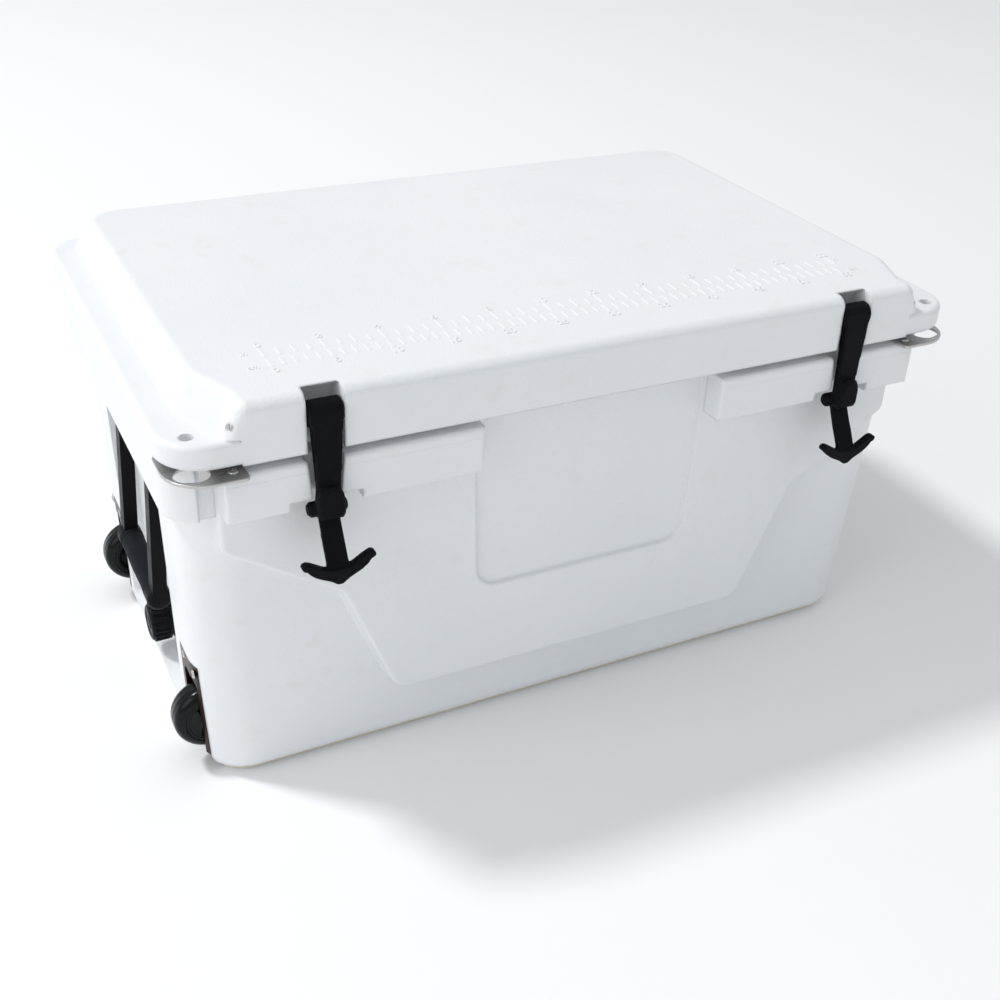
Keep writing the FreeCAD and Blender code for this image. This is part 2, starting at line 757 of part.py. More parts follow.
def handle_bail():
    """Two arms and the bar between them, turning on the rod."""
    length = math.hypot(handle_lean, handle_drop)
    angle = math.degrees(math.atan2(handle_lean, handle_drop))
    half = handle_arm_thickness_x / 2
    outer_y = handle_arm_inner_y + handle_arm_thickness_y
    arm = block(-half, half, handle_arm_inner_y, outer_y, -length, 0)
    top = rod(vec(0, handle_arm_inner_y, 0), axis_y, half, handle_arm_thickness_y)
    foot = rod(vec(0, handle_arm_inner_y, -length), axis_y, handle_grip_radius, handle_arm_thickness_y)
    end = edges_where(foot, lambda p: p.y > outer_y - 0.1)
    foot = foot.makeFillet(5.0, end)
    arm = fuse([arm, top, foot])
    core = rod(vec(0, -handle_arm_inner_y - 1, -length), axis_y, handle_core_radius,
               2 * handle_arm_inner_y + 2)
    bail = fuse([arm, mirror_y(arm), core])
    bore = rod(vec(0, -outer_y - 1, 0), axis_y, handle_rod_radius + pin_fit, 2 * outer_y + 2)
    bail = bail.cut(bore)
    bail.rotate(vec(0, 0, 0), axis_y, angle)
    bail.translate(vec(-handle_pivot_x, 0, handle_pivot_z))
    return bail


def handle_grip():
    """Rubber sleeve on the bail's bar."""
    start = vec(-handle_grip_x, -handle_arm_inner_y, handle_grip_z)
    sleeve = rod(start, axis_y, handle_grip_radius, 2 * handle_arm_inner_y)
    return sleeve.cut(rod(start, axis_y, handle_core_radius, 2 * handle_arm_inner_y))


def handle_mount():
    """Plate screwed into the recess with an ear outside each arm."""
    wall_x = -recess_wall_x
    half_y = handle_ear_end + handle_mount_margin
    half_z = handle_ear_radius + handle_mount_margin
    plate = block(wall_x - handle_mount_plate, wall_x, -half_y, half_y, handle_pivot_z - half_z,
                  handle_pivot_z + half_z)
    parts = [plate]
    for side in (-1, 1):
        y0 = min(side * handle_ear_start, side * handle_ear_end)
        ear = rod(vec(-handle_pivot_x, y0, handle_pivot_z), axis_y, handle_ear_radius,
                  handle_ear_thickness)
        web = block(-handle_pivot_x, wall_x, y0, y0 + handle_ear_thickness,
                    handle_pivot_z - handle_ear_radius, handle_pivot_z + handle_ear_radius)
        parts = parts + [ear, web]
    bore = rod(vec(-handle_pivot_x, -handle_ear_end - 1, handle_pivot_z), axis_y,
               handle_rod_radius, 2 * handle_ear_end + 2)
    holes = [rod(vec(wall_x - 9, y, z), axis_x, screw_shank_radius, 12) for y, z in handle_screw_spots()]
    return fuse(parts).cut([bore] + holes)


def handle_screw_spots():
    """Where the mount's screws stand, as Y and Z."""
    return [(y, handle_pivot_z) for y in (-handle_screw_y, handle_screw_y)]


def handle_rod():
    """Steel rod through both arms and both ears."""
    return rod(vec(-handle_pivot_x, -handle_ear_end, handle_pivot_z), axis_y, handle_rod_radius,
               2 * handle_ear_end)


def wheel_tyre():
    """Rounded tyre of the front wheel."""
    y0 = -wheel_mid_y - wheel_width / 2
    ring = rod(vec(-wheel_axle_x, y0, wheel_axle_z), axis_y, wheel_radius, wheel_width)
    shoulders = edges_where(ring, lambda p: abs(abs(p.y + wheel_mid_y) - wheel_width / 2) < 0.1)
    ring = ring.makeFillet(wheel_width * 0.32, shoulders)
    return ring.cut(rod(vec(-wheel_axle_x, y0, wheel_axle_z), axis_y, hub_radius, wheel_width))


def wheel_hub():
    """Hub of the front wheel, bored for its axle."""
    width = wheel_width - 2 * hub_inset
    y0 = -wheel_mid_y - width / 2
    disc = rod(vec(-wheel_axle_x, y0, wheel_axle_z), axis_y, hub_radius, width)
    boss = rod(vec(-wheel_axle_x, -wheel_mid_y - wheel_width / 2 - wheel_side_gap / 2, wheel_axle_z),
               axis_y, hub_boss_radius, wheel_width + wheel_side_gap)
    hub = disc.fuse(boss)
    return hub.cut(rod(vec(-wheel_axle_x, y0 - 10, wheel_axle_z), axis_y, axle_radius + axle_fit,
                       width + 20))


def wheel_axle():
    """Headed pin of the front wheel, seated in both cheeks."""
    start = vec(-wheel_axle_x, -wheel_mid_y - cheek_half, wheel_axle_z)
    return rod(start, axis_y, axle_radius, 2 * cheek_half)


def wheel_bracket():
    """Bracket of the front wheel: face plate with an arch, and two cheeks for the axle."""
    inner_x = tub_half_at(bracket_top_z)[0] - 3 * bracket_plate + well_clearance / 2
    plate = block(-lid_half_x, -inner_x, -bracket_outer_y, -bracket_inner_y, bracket_bottom_z,
                  bracket_top_z)
    half = wheel_width / 2 + wheel_side_gap
    arch_radius = half * 0.6
    points = [vec(-lid_half_x - 1, -wheel_mid_y - half, bracket_bottom_z - 1),
              vec(-lid_half_x - 1, -wheel_mid_y + half, bracket_bottom_z - 1),
              vec(-lid_half_x - 1, -wheel_mid_y + half, bracket_arch_top_z),
              vec(-lid_half_x - 1, -wheel_mid_y - half, bracket_arch_top_z)]
    arch = Part.Face(outline(points, [0, 0, arch_radius, arch_radius])).extrude(vec(80, 0, 0))
    cheeks = []
    for y0 in (-wheel_mid_y - half - cheek_thickness, -wheel_mid_y + half):
        cheeks.append(block(-lid_half_x, -wheel_axle_x + wheel_radius - 4, y0, y0 + cheek_thickness,
                            bracket_bottom_z + 8, bracket_arch_top_z - 1))
    bracket = fuse([plate.cut(arch)] + cheeks).common(tub_blank())
    bore = rod(vec(-wheel_axle_x, -wheel_mid_y - half - cheek_thickness - 1, wheel_axle_z), axis_y,
               axle_radius, 2 * (half + cheek_thickness) + 2)
    return bracket.cut(bore)


def bracket_screw_spots():
    """Where the front bracket's screws stand, as Y and Z."""
    top = (bracket_top_z + bracket_arch_top_z) / 2
    return [(-wheel_mid_y + 16, top), (-wheel_mid_y - 16, top)]


def drain_tube():
    """Bushing through the end wall with its outer flange."""
    outer_x = -recess_wall_x
    inner_x = -(cavity_half_x - cavity_taper - 8)
    flange = rod(vec(outer_x - drain_flange, 0, drain_z), axis_x, drain_flange_radius, drain_flange)
    tube = rod(vec(outer_x - drain_flange, 0, drain_z), axis_x, drain_tube_radius,
               inner_x - outer_x + drain_flange)
    bore = rod(vec(outer_x - drain_flange - 1, 0, drain_z), axis_x, drain_bore_radius,
               inner_x - outer_x + drain_flange + 2)
    return fuse([flange, tube]).cut(bore)


def drain_gasket():
    """Seal ring between the bushing's flange and the cap."""
    start = vec(-recess_wall_x - drain_flange - drain_gasket_thickness, 0, drain_z)
    ring = rod(start, axis_x, drain_flange_radius - 2, drain_gasket_thickness)
    return ring.cut(rod(start, axis_x, drain_bore_radius, drain_gasket_thickness))


def drain_plug():
    """Ribbed cap with its stem."""
    face_x = -recess_wall_x - drain_flange - drain_gasket_thickness - drain_stem_clearance
    cap = rod(vec(face_x - drain_cap_length, 0, drain_z), axis_x, drain_cap_radius - 1.2,
              drain_cap_length)
    outer = edges_where(cap, lambda p: p.x < face_x - drain_cap_length + 0.1)
    cap = cap.makeFillet(2.0, outer)
    ribs = []
    for i in range(drain_rib_count):
        rib = block(face_x - drain_cap_length + 3, face_x, -1.3, 1.3, drain_cap_radius - 3,
                    drain_cap_radius)
        rib.rotate(vec(0, 0, 0), axis_x, 360 / drain_rib_count * i)
        rib.translate(vec(0, 0, drain_z))
        ribs.append(rib)
    stem = rod(vec(face_x - 1, 0, drain_z), axis_x, drain_bore_radius - drain_stem_clearance, 24)
    return fuse([cap, stem] + ribs)


def hinge_segments():
    """X ranges of the outer knuckles and the middle knuckle, about the hinge's centre."""
    third = 2 * hinge_half_width / 3
    outer = [(-hinge_half_width, -third / 2 - hinge_play), (third / 2 + hinge_play, hinge_half_width)]
    return outer, (-third / 2, third / 2)


def hinge_base(side):
    """Leaf on the tub's rear block with two knuckles."""
    middle = side * hinge_x
    plate = block(middle - hinge_half_width, middle + hinge_half_width, rear_block_face_y,
                  rear_block_face_y + hinge_leaf, keeper_bottom_z + 4, hinge_axis_z - 8)
    parts = [plate]
    for x0, x1 in hinge_segments()[0]:
        start = vec(middle + x0, hinge_axis_y, hinge_axis_z)
        parts.append(rod(start, axis_x, hinge_knuckle_radius, x1 - x0))
        parts.append(block(middle + x0, middle + x1, rear_block_face_y, hinge_axis_y,
                           hinge_axis_z - hinge_knuckle_radius, hinge_axis_z + 2))
        parts.append(block(middle + x0, middle + x1, rear_block_face_y, rear_block_face_y + hinge_leaf,
                           keeper_bottom_z + 4, hinge_axis_z + 2))
    leaf = fuse(parts)
    bore = rod(vec(middle - hinge_half_width - 1, hinge_axis_y, hinge_axis_z), axis_x,
               hinge_pin_radius, 2 * hinge_half_width + 2)
    return leaf.cut([bore] + hinge_base_holes(side))


def hinge_base_spots(side):
    """Screw places of a base leaf."""
    middle = side * hinge_x
    return [vec(middle + x, rear_block_face_y + hinge_leaf, keeper_bottom_z + 16) for x in (-30, 30)]


def hinge_base_holes(side):
    """Screw holes of a base leaf."""
    return [rod(p + vec(0, 1, 0), axis_y * -1, screw_shank_radius, hinge_leaf + 2)
            for p in hinge_base_spots(side)]


def hinge_leaf_spots(side):
    """Screw places of a lid leaf."""
    middle = side * hinge_x
    return [vec(middle + x, lid_half_y + hinge_leaf, lid_bottom_z + 12) for x in (-30, 30)]


def hinge_lid_leaf(side):
    """Leaf on the lid's rear edge with the middle knuckle."""
    middle = side * hinge_x
    x0, x1 = hinge_segments()[1]
    plate = block(middle - hinge_half_width, middle + hinge_half_width, lid_half_y,
                  lid_half_y + hinge_leaf, lid_bottom_z + 5.5, ledge_z - 3)
    knuckle = rod(vec(middle + x0, hinge_axis_y, hinge_axis_z), axis_x, hinge_knuckle_radius, x1 - x0)
    web = block(middle + x0, middle + x1, lid_half_y, hinge_axis_y, hinge_axis_z + 1,
                lid_bottom_z + 7)
    bore = rod(vec(middle + x0 - 1, hinge_axis_y, hinge_axis_z), axis_x,
               hinge_pin_radius + pin_fit, x1 - x0 + 2)
    holes = [rod(p + vec(0, 1, 0), axis_y * -1, screw_shank_radius, hinge_leaf + 2)
             for p in hinge_leaf_spots(side)]
    return fuse([plate, knuckle, web]).cut([bore] + holes)


def hinge_pin(side):
    """Pin through one hinge."""
    start = vec(side * hinge_x - hinge_half_width, hinge_axis_y, hinge_axis_z)
    return rod(start, axis_x, hinge_pin_radius, 2 * hinge_half_width)


def save(name, shape):
    """Write one piece, or a group of equal pieces, as its own file."""
    shape.exportStep(os.path.join("parts", name + ".step"))


os.makedirs("parts", exist_ok=True)

plate_screws = []
for x, y in plate_screw_spots():
    for side in (-1, 1):
        plate_screws.append(screw(vec(-side * x, y, rim_top_z + plate_thickness), axis_z))

handle_screws = []
for y, z in handle_screw_spots():
    left = screw(vec(-recess_wall_x - handle_mount_plate, y, z), axis_x * -1)
    handle_screws += [left, mirror_x(left)]

bracket_screws = []
for y, z in bracket_screw_spots():
    near = screw(vec(-tub_half_at(z)[0] + 1.0, y, z), axis_x * -1)
    bracket_screws += [near, mirror_y(near)]

hinge_screws_body = []
hinge_screws_lid = []
for side in (-1, 1):
    hinge_screws_body += [screw(p, axis_y) for p in hinge_base_spots(side)]
    hinge_screws_lid += [screw(p, axis_y) for p in hinge_leaf_spots(side)]

shanks = Part.makeCompound(plate_screws + handle_screws + bracket_screws + hinge_screws_body)
save("tub_shell", tub_shell().cut(shanks))
save("tub_liner", tub_liner().cut(shanks))
save("tub_foam", tub_foam().cut(shanks))
save("lid_shell", lid_shell().cut(Part.makeCompound(hinge_screws_lid)))
save("lid_liner", lid_liner())
save("lid_foam", lid_foam())
save("lid_gasket", lid_gasket())
save("plate_screws", Part.makeCompound(plate_screws))
save("handle_screws", Part.makeCompound(handle_screws))
save("bracket_screws", Part.makeCompound(bracket_screws))
save("hinge_screws_body", Part.makeCompound(hinge_screws_body))
save("hinge_screws_lid", Part.makeCompound(hinge_screws_lid))

plate = corner_plate()
save("corner_plate_left", plate)
save("corner_plate_right", mirror_x(plate))

for name, side in (("left", -1), ("right", 1)):
    save("latch_" + name, latch(side))
    save("latch_pin_" + name, latch_pin(side))
    save("hinge_base_" + name, hinge_base(side))
    save("hinge_leaf_" + name, hinge_lid_leaf(side))
    save("hinge_pin_" + name, hinge_pin(side))

for name, maker in (("bail", handle_bail), ("grip", handle_grip), ("mount", handle_mount),
                    ("rod", handle_rod)):
    piece = maker()
    save("handle_" + name + "_left", piece)
    save("handle_" + name + "_right", mirror_x(piece))

seated = wheel_bracket().cut(Part.makeCompound(bracket_screws))
save("wheel_bracket_front", seated)
save("wheel_bracket_rear", mirror_y(seated))
for name, maker in (("tyre", wheel_tyre), ("hub", wheel_hub), ("axle", wheel_axle)):
    piece = maker()
    save("wheel_" + name + "_front", piece)
    save("wheel_" + name + "_rear", mirror_y(piece))

save("drain_tube", drain_tube())
save("drain_gasket", drain_gasket())
save("drain_plug", drain_plug())
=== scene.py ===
import json
import math

import bmesh
import bpy
from mathutils import Matrix, Vector

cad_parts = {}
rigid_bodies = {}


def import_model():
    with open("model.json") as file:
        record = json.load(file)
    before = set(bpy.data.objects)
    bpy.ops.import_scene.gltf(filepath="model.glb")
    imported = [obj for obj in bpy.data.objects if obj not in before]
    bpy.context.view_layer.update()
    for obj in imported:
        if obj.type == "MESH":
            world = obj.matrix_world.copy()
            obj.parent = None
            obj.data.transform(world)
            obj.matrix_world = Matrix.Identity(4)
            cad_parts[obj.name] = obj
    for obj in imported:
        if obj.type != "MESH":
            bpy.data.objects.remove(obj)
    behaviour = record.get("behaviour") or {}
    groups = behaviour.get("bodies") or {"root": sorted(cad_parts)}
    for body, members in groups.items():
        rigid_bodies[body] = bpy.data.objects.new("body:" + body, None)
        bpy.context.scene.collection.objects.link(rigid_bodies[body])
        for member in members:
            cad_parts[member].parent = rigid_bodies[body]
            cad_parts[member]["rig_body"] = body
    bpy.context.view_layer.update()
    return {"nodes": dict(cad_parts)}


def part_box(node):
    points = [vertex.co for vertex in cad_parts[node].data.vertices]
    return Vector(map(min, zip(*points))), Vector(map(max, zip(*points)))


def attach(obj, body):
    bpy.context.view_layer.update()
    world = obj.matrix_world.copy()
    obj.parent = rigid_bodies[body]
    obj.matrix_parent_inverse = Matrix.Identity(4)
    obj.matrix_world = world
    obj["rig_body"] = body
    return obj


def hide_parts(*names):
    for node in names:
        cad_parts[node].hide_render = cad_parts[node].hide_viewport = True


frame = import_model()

nodes = frame["nodes"]
scene = bpy.context.scene


def mm(*values):
    return Vector([value / 1000 for value in values])


def boxOf(node):
    low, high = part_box(node)
    return low, high, (low + high) / 2


# helpers for node trees

def addNode(tree, kind, **values):
    node = tree.nodes.new(kind)
    for key, value in values.items():
        if hasattr(node, key):
            setattr(node, key, value)
        else:
            node.inputs[key.replace("_", " ")].default_value = value
    return node


def noiseAt(tree, place, scale, detail=3.0):
    found = addNode(tree, "ShaderNodeTexNoise", Scale=scale, Detail=detail)
    tree.links.new(place, found.inputs["Vector"])
    return found.outputs["Fac"]


def spread(tree, value, low, high, start=0.3, end=0.7):
    # moves a noise, mostly from 0.3 to 0.7, onto low to high
    found = addNode(tree, "ShaderNodeMapRange", From_Min=start, From_Max=end, To_Min=low,
                    To_Max=high)
    tree.links.new(value, found.inputs["Value"])
    return found.outputs["Result"]


def mixColours(tree, share, first, second):
    found = addNode(tree, "ShaderNodeMix", data_type="RGBA")
    tree.links.new(share, found.inputs["Factor"])
    for socket, colour in ((found.inputs[6], first), (found.inputs[7], second)):
        if isinstance(colour, tuple):
            socket.default_value = (*colour, 1.0)
        else:
            tree.links.new(colour, socket)
    return found.outputs[2]


def bumpOf(tree, height, distance, normal=None):
    found = addNode(tree, "ShaderNodeBump", Distance=distance)
    tree.links.new(height, found.inputs["Height"])
    if normal is not None:
        tree.links.new(normal, found.inputs["Normal"])
    return found.outputs["Normal"]


def newFinish(name):
    material = bpy.data.materials.new(name)
    material.use_nodes = True
    tree = material.node_tree
    place = addNode(tree, "ShaderNodeTexCoord").outputs["Object"]
    return material, tree, tree.nodes["Principled BSDF"], place


def softEdges(tree, radius):
    found = addNode(tree, "ShaderNodeBevel", samples=6, Radius=radius)
    return found.outputs["Normal"]


def mouldedFinish(name, values):
    # plastic or rubber: fine skin, slow waves, patches of tone and shine, light scuffs
    material, tree, shader, place = newFinish(name)
    patches = noiseAt(tree, place, values["patchScale"])
    tone = mixColours(tree, spread(tree, patches, 0.0, 1.0), values["colour"], values["shade"])
    scuffs = noiseAt(tree, place, values["scuffScale"], 6.0)
    worn = spread(tree, scuffs, 0.0, values["scuffs"], 0.60, 0.74)
    tone = mixColours(tree, worn, tone, values["scuffColour"])
    tree.links.new(tone, shader.inputs["Base Color"])
    shine = noiseAt(tree, place, values["patchScale"] * 2.3, 5.0)
    tree.links.new(spread(tree, shine, *values["roughness"]), shader.inputs["Roughness"])
    rounded = softEdges(tree, values["edge"]) if "edge" in values else None
    waves = bumpOf(tree, noiseAt(tree, place, values["waveScale"], 2.0), values["waveDepth"],
                   rounded)
    skin = bumpOf(tree, noiseAt(tree, place, values["skinScale"], 2.0), values["skinDepth"], waves)
    tree.links.new(skin, shader.inputs["Normal"])
    shader.inputs["Specular IOR Level"].default_value = values.get("specular", 0.5)
    shader.inputs["Coat Weight"].default_value = values.get("coat", 0.0)
    shader.inputs["Coat Roughness"].default_value = 0.08
    return material


def brushedFinish(name, values):
    # steel with fine lines along one direction and a few cloudy marks
    material, tree, shader, place = newFinish(name)
    turn = addNode(tree, "ShaderNodeMapping", Scale=values["lines"])
    tree.links.new(place, turn.inputs["Vector"])
    lines = noiseAt(tree, turn.outputs["Vector"], 1.0, 4.0)
    clouds = noiseAt(tree, place, 60.0, 4.0)
    tone = mixColours(tree, spread(tree, lines, 0.0, 1.0), values["colour"], values["shade"])
    tone = mixColours(tree, spread(tree, clouds, 0.0, 0.25), tone, values["cloud"])
    tree.links.new(tone, shader.inputs["Base Color"])
    tree.links.new(spread(tree, lines, *values["roughness"]), shader.inputs["Roughness"])
    rounded = softEdges(tree, values["edge"])
    tree.links.new(bumpOf(tree, lines, values["depth"], rounded), shader.inputs["Normal"])
    shader.inputs["Metallic"].default_value = 1.0
    shader.inputs["Anisotropic"].default_value = 0.35
    return material


def foamFinish(name, values):
    material, tree, shader, place = newFinish(name)
    cells = addNode(tree, "ShaderNodeTexVoronoi", Scale=values["cellScale"])
    tree.links.new(place, cells.inputs["Vector"])
    tone = mixColours(tree, spread(tree, noiseAt(tree, place, 25.0), 0.0, 1.0), values["colour"],
                      values["shade"])
    tree.links.new(tone, shader.inputs["Base Color"])
    tree.links.new(bumpOf(tree, cells.outputs["Distance"], values["cellDepth"]),
                   shader.inputs["Normal"])
    shader.inputs["Roughness"].default_value = 0.9
    return material


shellFinish = {
    "colour": (0.84, 0.852, 0.868), "shade": (0.80, 0.815, 0.835), "patchScale": 4.0,
    "scuffs": 0.35, "scuffScale": 34.0, "scuffColour": (0.76, 0.76, 0.75),
    "roughness": (0.34, 0.48), "waveScale": 11.0, "waveDepth": 0.0011,
    "skinScale": 430.0, "skinDepth": 0.0003, "edge": 0.0038}
rulerFinish = {key: value for key, value in shellFinish.items() if key != "edge"}
linerFinish = dict(shellFinish, colour=(0.85, 0.86, 0.87), shade=(0.82, 0.83, 0.845),
                   scuffs=0.15, skinDepth=0.0002)
latchFinish = {
    "colour": (0.0045, 0.0058, 0.0085), "shade": (0.003, 0.004, 0.006), "patchScale": 30.0,
    "scuffs": 0.2, "scuffScale": 160.0, "scuffColour": (0.012, 0.014, 0.018),
    "roughness": (0.5, 0.62), "waveScale": 60.0, "waveDepth": 0.0003,
    "skinScale": 1500.0, "skinDepth": 0.00012, "specular": 0.07}
gripFinish = dict(latchFinish, colour=(0.011, 0.014, 0.018), shade=(0.007, 0.009, 0.012),
                  roughness=(0.55, 0.7), skinScale=1100.0, skinDepth=0.0002)
sealFinish = dict(latchFinish, colour=(0.05, 0.052, 0.056), shade=(0.035, 0.037, 0.04))
tyreFinish = {
    "colour": (0.004, 0.0044, 0.005), "shade": (0.0026, 0.003, 0.0034), "patchScale": 25.0,
    "scuffs": 0.25, "scuffScale": 120.0, "scuffColour": (0.012, 0.012, 0.012),
    "roughness": (0.14, 0.22), "waveScale": 70.0, "waveDepth": 0.0001,
    "skinScale": 900.0, "skinDepth": 0.00002, "specular": 0.2, "coat": 0.0}
hubFinish = dict(tyreFinish, roughness=(0.13, 0.2), edge=0.0006)
bracketFinish = dict(tyreFinish, colour=(0.022, 0.009, 0.007), shade=(0.014, 0.006, 0.005),
                     roughness=(0.25, 0.4), scuffColour=(0.05, 0.03, 0.026), specular=0.2,
                     edge=0.0009)
handleFinish = dict(tyreFinish, colour=(0.0065, 0.0068, 0.0075), shade=(0.005, 0.0052, 0.006),
                    roughness=(0.38, 0.5), skinDepth=0.00012, specular=0.1, edge=0.001)
drainFinish = dict(handleFinish, roughness=(0.3, 0.42))
plateFinish = {
    "colour": (0.62, 0.61, 0.59), "shade": (0.50, 0.49, 0.475), "cloud": (0.40, 0.395, 0.39),
    "lines": (18.0, 1700.0, 1700.0), "roughness": (0.24, 0.4), "depth": 0.00004, "edge": 0.0005}
screwFinish = dict(plateFinish, lines=(900.0, 900.0, 900.0), roughness=(0.2, 0.32), edge=0.0003)
rodFinish = dict(plateFinish, lines=(1500.0, 40.0, 1500.0))
foamValues = {"colour": (0.80, 0.70, 0.44), "shade": (0.72, 0.60, 0.34), "cellScale": 900.0,
              "cellDepth": 0.0008}

whiteShell = mouldedFinish("whiteShell", shellFinish)
whiteLiner = mouldedFinish("whiteLiner", linerFinish)
whiteMarks = mouldedFinish("whiteMarks", rulerFinish)
latchRubber = mouldedFinish("latchRubber", latchFinish)
gripRubber = mouldedFinish("gripRubber", gripFinish)
sealRubber = mouldedFinish("sealRubber", sealFinish)
tyreRubber = mouldedFinish("tyreRubber", tyreFinish)
hubPlastic = mouldedFinish("hubPlastic", hubFinish)
bracketPlastic = mouldedFinish("bracketPlastic", bracketFinish)
handlePlastic = mouldedFinish("handlePlastic", handleFinish)
drainPlastic = mouldedFinish("drainPlastic", drainFinish)
plateSteel = brushedFinish("plateSteel", plateFinish)
screwSteel = brushedFinish("screwSteel", screwFinish)
rodSteel = brushedFinish("rodSteel", rodFinish)
coreFoam = foamFinish("coreFoam", foamValues)
print("finishes made")


# helpers for shapes

def putMesh(name, mesh, body, material=None, sharp=35.0):
    piece = bpy.data.objects.new(name, mesh)
    scene.collection.objects.link(piece)
    if material is not None:
        mesh.materials.clear()
        mesh.materials.append(material)
    mesh.shade_smooth()
    mesh.set_sharp_from_angle(angle=math.radians(sharp))
    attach(piece, body)
    return piece


def meshOf(name, vertices, faces):
    mesh = bpy.data.meshes.new(name)
    mesh.from_pydata([tuple(vertex) for vertex in vertices], [], faces)
    mesh.update()
    return mesh


def evaluated(piece):
    graph = bpy.context.evaluated_depsgraph_get()
    return bpy.data.meshes.new_from_object(piece.evaluated_get(graph))


def bakedModifiers(piece):
    # the shape with its modifiers worked in, as a mesh of its own
    mesh = evaluated(piece)
    bpy.data.objects.remove(piece)
    return mesh


def mergedCopy(node, name, material, rounding=0.0, sharp=32.0, change=None):
    # a CAD node with its loose triangles joined, so that curved faces shade smoothly
    source = nodes[node]
    work = bmesh.new()
    work.from_mesh(source.data)
    bmesh.ops.remove_doubles(work, verts=work.verts, dist=0.00002)
    bmesh.ops.dissolve_limit(work, angle_limit=math.radians(0.3), verts=work.verts,
                             edges=work.edges)
    work.verts.index_update()
    vertices = [vertex.co.copy() for vertex in work.verts]
    faces = [[vertex.index for vertex in face.verts] for face in work.faces]
    work.free()
    if change:
        vertices = [change(vertex) for vertex in vertices]
    piece = putMesh(name, meshOf(name, vertices, faces), source["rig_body"], material)
    if rounding:
        bevel = piece.modifiers.new("rounding", "BEVEL")
        bevel.limit_method = "ANGLE"
        bevel.angle_limit = math.radians(sharp)
        bevel.width = rounding
        bevel.segments = 2
    weights = piece.modifiers.new("weights", "WEIGHTED_NORMAL")
    weights.keep_sharp = True
    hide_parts(node)
    return piece


def paint(material, *names):
    for name in names:
        nodes[name].data.materials.clear()
        nodes[name].data.materials.append(material)


def spun(name, profile, centre, axis, segments=64):
    # turns (along, radius) pairs about an axis through a centre; the profile is a closed ring
    along = Vector((1, 0, 0)) if axis == "x" else Vector((0, 1, 0))
    across = Vector((0, 0, 1))
    third = along.cross(across)
    vertices, faces = [], []
    count = len(profile)
    for step in range(segments):
        angle = 2 * math.pi * step / segments
        out = across * math.cos(angle) + third * math.sin(angle)
        vertices += [centre + along * place + out * radius for place, radius in profile]
    for step in range(segments):
        for index in range(count):
            here, there = step * count, (step + 1) % segments * count
            after = (index + 1) % count
            faces.append((here + index, here + after, there + after, there + index))
    mesh = meshOf(name, vertices, faces)
    work = bmesh.new()
    work.from_mesh(mesh)
    bmesh.ops.remove_doubles(work, verts=work.verts, dist=0.000002)
    bmesh.ops.recalc_face_normals(work, faces=work.faces)
    work.to_mesh(mesh)
    work.free()
    return mesh


def arcPoints(along, radius, size, start, end, steps=6):
    # points of an arc about (along, radius), angles in degrees from the axis' direction
    points = []
    for step in range(steps + 1):
        angle = math.radians(start + (end - start) * step / steps)
        points.append((along + size * math.cos(angle), radius + size * math.sin(angle)))
    return points


# helpers for geometry nodes

def newTree(name, sockets):
    tree = bpy.data.node_groups.new(name, "GeometryNodeTree")
    for socketName, kind, value in sockets:
        socket = tree.interface.new_socket(socketName, in_out="INPUT", socket_type=kind)
        if value is not None:
            socket.default_value = value
    tree.interface.new_socket("Geometry", in_out="OUTPUT", socket_type="NodeSocketGeometry")
    return tree, tree.nodes.new("NodeGroupInput"), tree.nodes.new("NodeGroupOutput")


def wire(tree, start, end):
    tree.links.new(start, end)


def runTree(name, tree, values, body, mesh=None, sharp=35.0):
    # runs a tree once and keeps its result as a plain mesh
    source = mesh or bpy.data.meshes.new(name + "Source")
    holder = bpy.data.objects.new(name + "Holder", source)
    scene.collection.objects.link(holder)
    modifier = holder.modifiers.new(name, "NODES")
    modifier.node_group = tree
    for item in tree.interface.items_tree:
        if item.in_out == "INPUT" and item.name in values:
            modifier[item.identifier] = values[item.name]
    mesh = bakedModifiers(holder)
    mesh.name = name
    return putMesh(name, mesh, body, None, sharp)


# shells and liners

lidValues = {"sink": 0.0006, "sinkStart": 0.3895, "top": 0.4}


def sunkTop(vertex):
    # lowers the lid's top a little, so that the ruler's marks rise to the top level
    share = (vertex.z - lidValues["sinkStart"]) / (lidValues["top"] - lidValues["sinkStart"])
    share = min(max(share, 0.0), 1.0)
    return vertex - Vector((0, 0, lidValues["sink"] * share * share * (3 - 2 * share)))


mergedCopy("tub_shell", "tubShell", whiteShell)
mergedCopy("lid_shell", "lidShell", whiteShell, change=sunkTop)
mergedCopy("tub_liner", "tubLiner", whiteLiner)
mergedCopy("lid_liner", "lidLiner", whiteLiner)
mergedCopy("lid_gasket", "lidSeal", sealRubber, 0.0012)
paint(coreFoam, "tub_foam", "lid_foam")
print("shells made")


# the ruler on the lid: marks and figures

rulerValues = {
    "start": -274.8, "cmStep": 10.0, "cmCount": 56, "cmEdge": -167.5, "cmShort": 14.5,
    "cmLong": 15.5, "cmEvery": 5, "halfInchStep": 12.7, "inchCount": 45, "inchEdge": -163.3,
    "inchShort": 13.0, "inchMiddle": 17.0, "inchLong": 18.0, "inchEvery": 4, "width": 3.0,
    "wide": 3.8, "rise": 0.6, "root": 0.05, "figureHeight": 7.8, "cmFigures": -189.3,
    "inchFigures": -140.6, "figureEvery": (5, 2), "unitPlace": 15.0, "cmUnit": -178.5,
    "inchUnit": -152.5, "unitHeight": 6.0, "letterScale": 1.38, "letterDepth": 0.3,
    "letterSwell": 0.12}


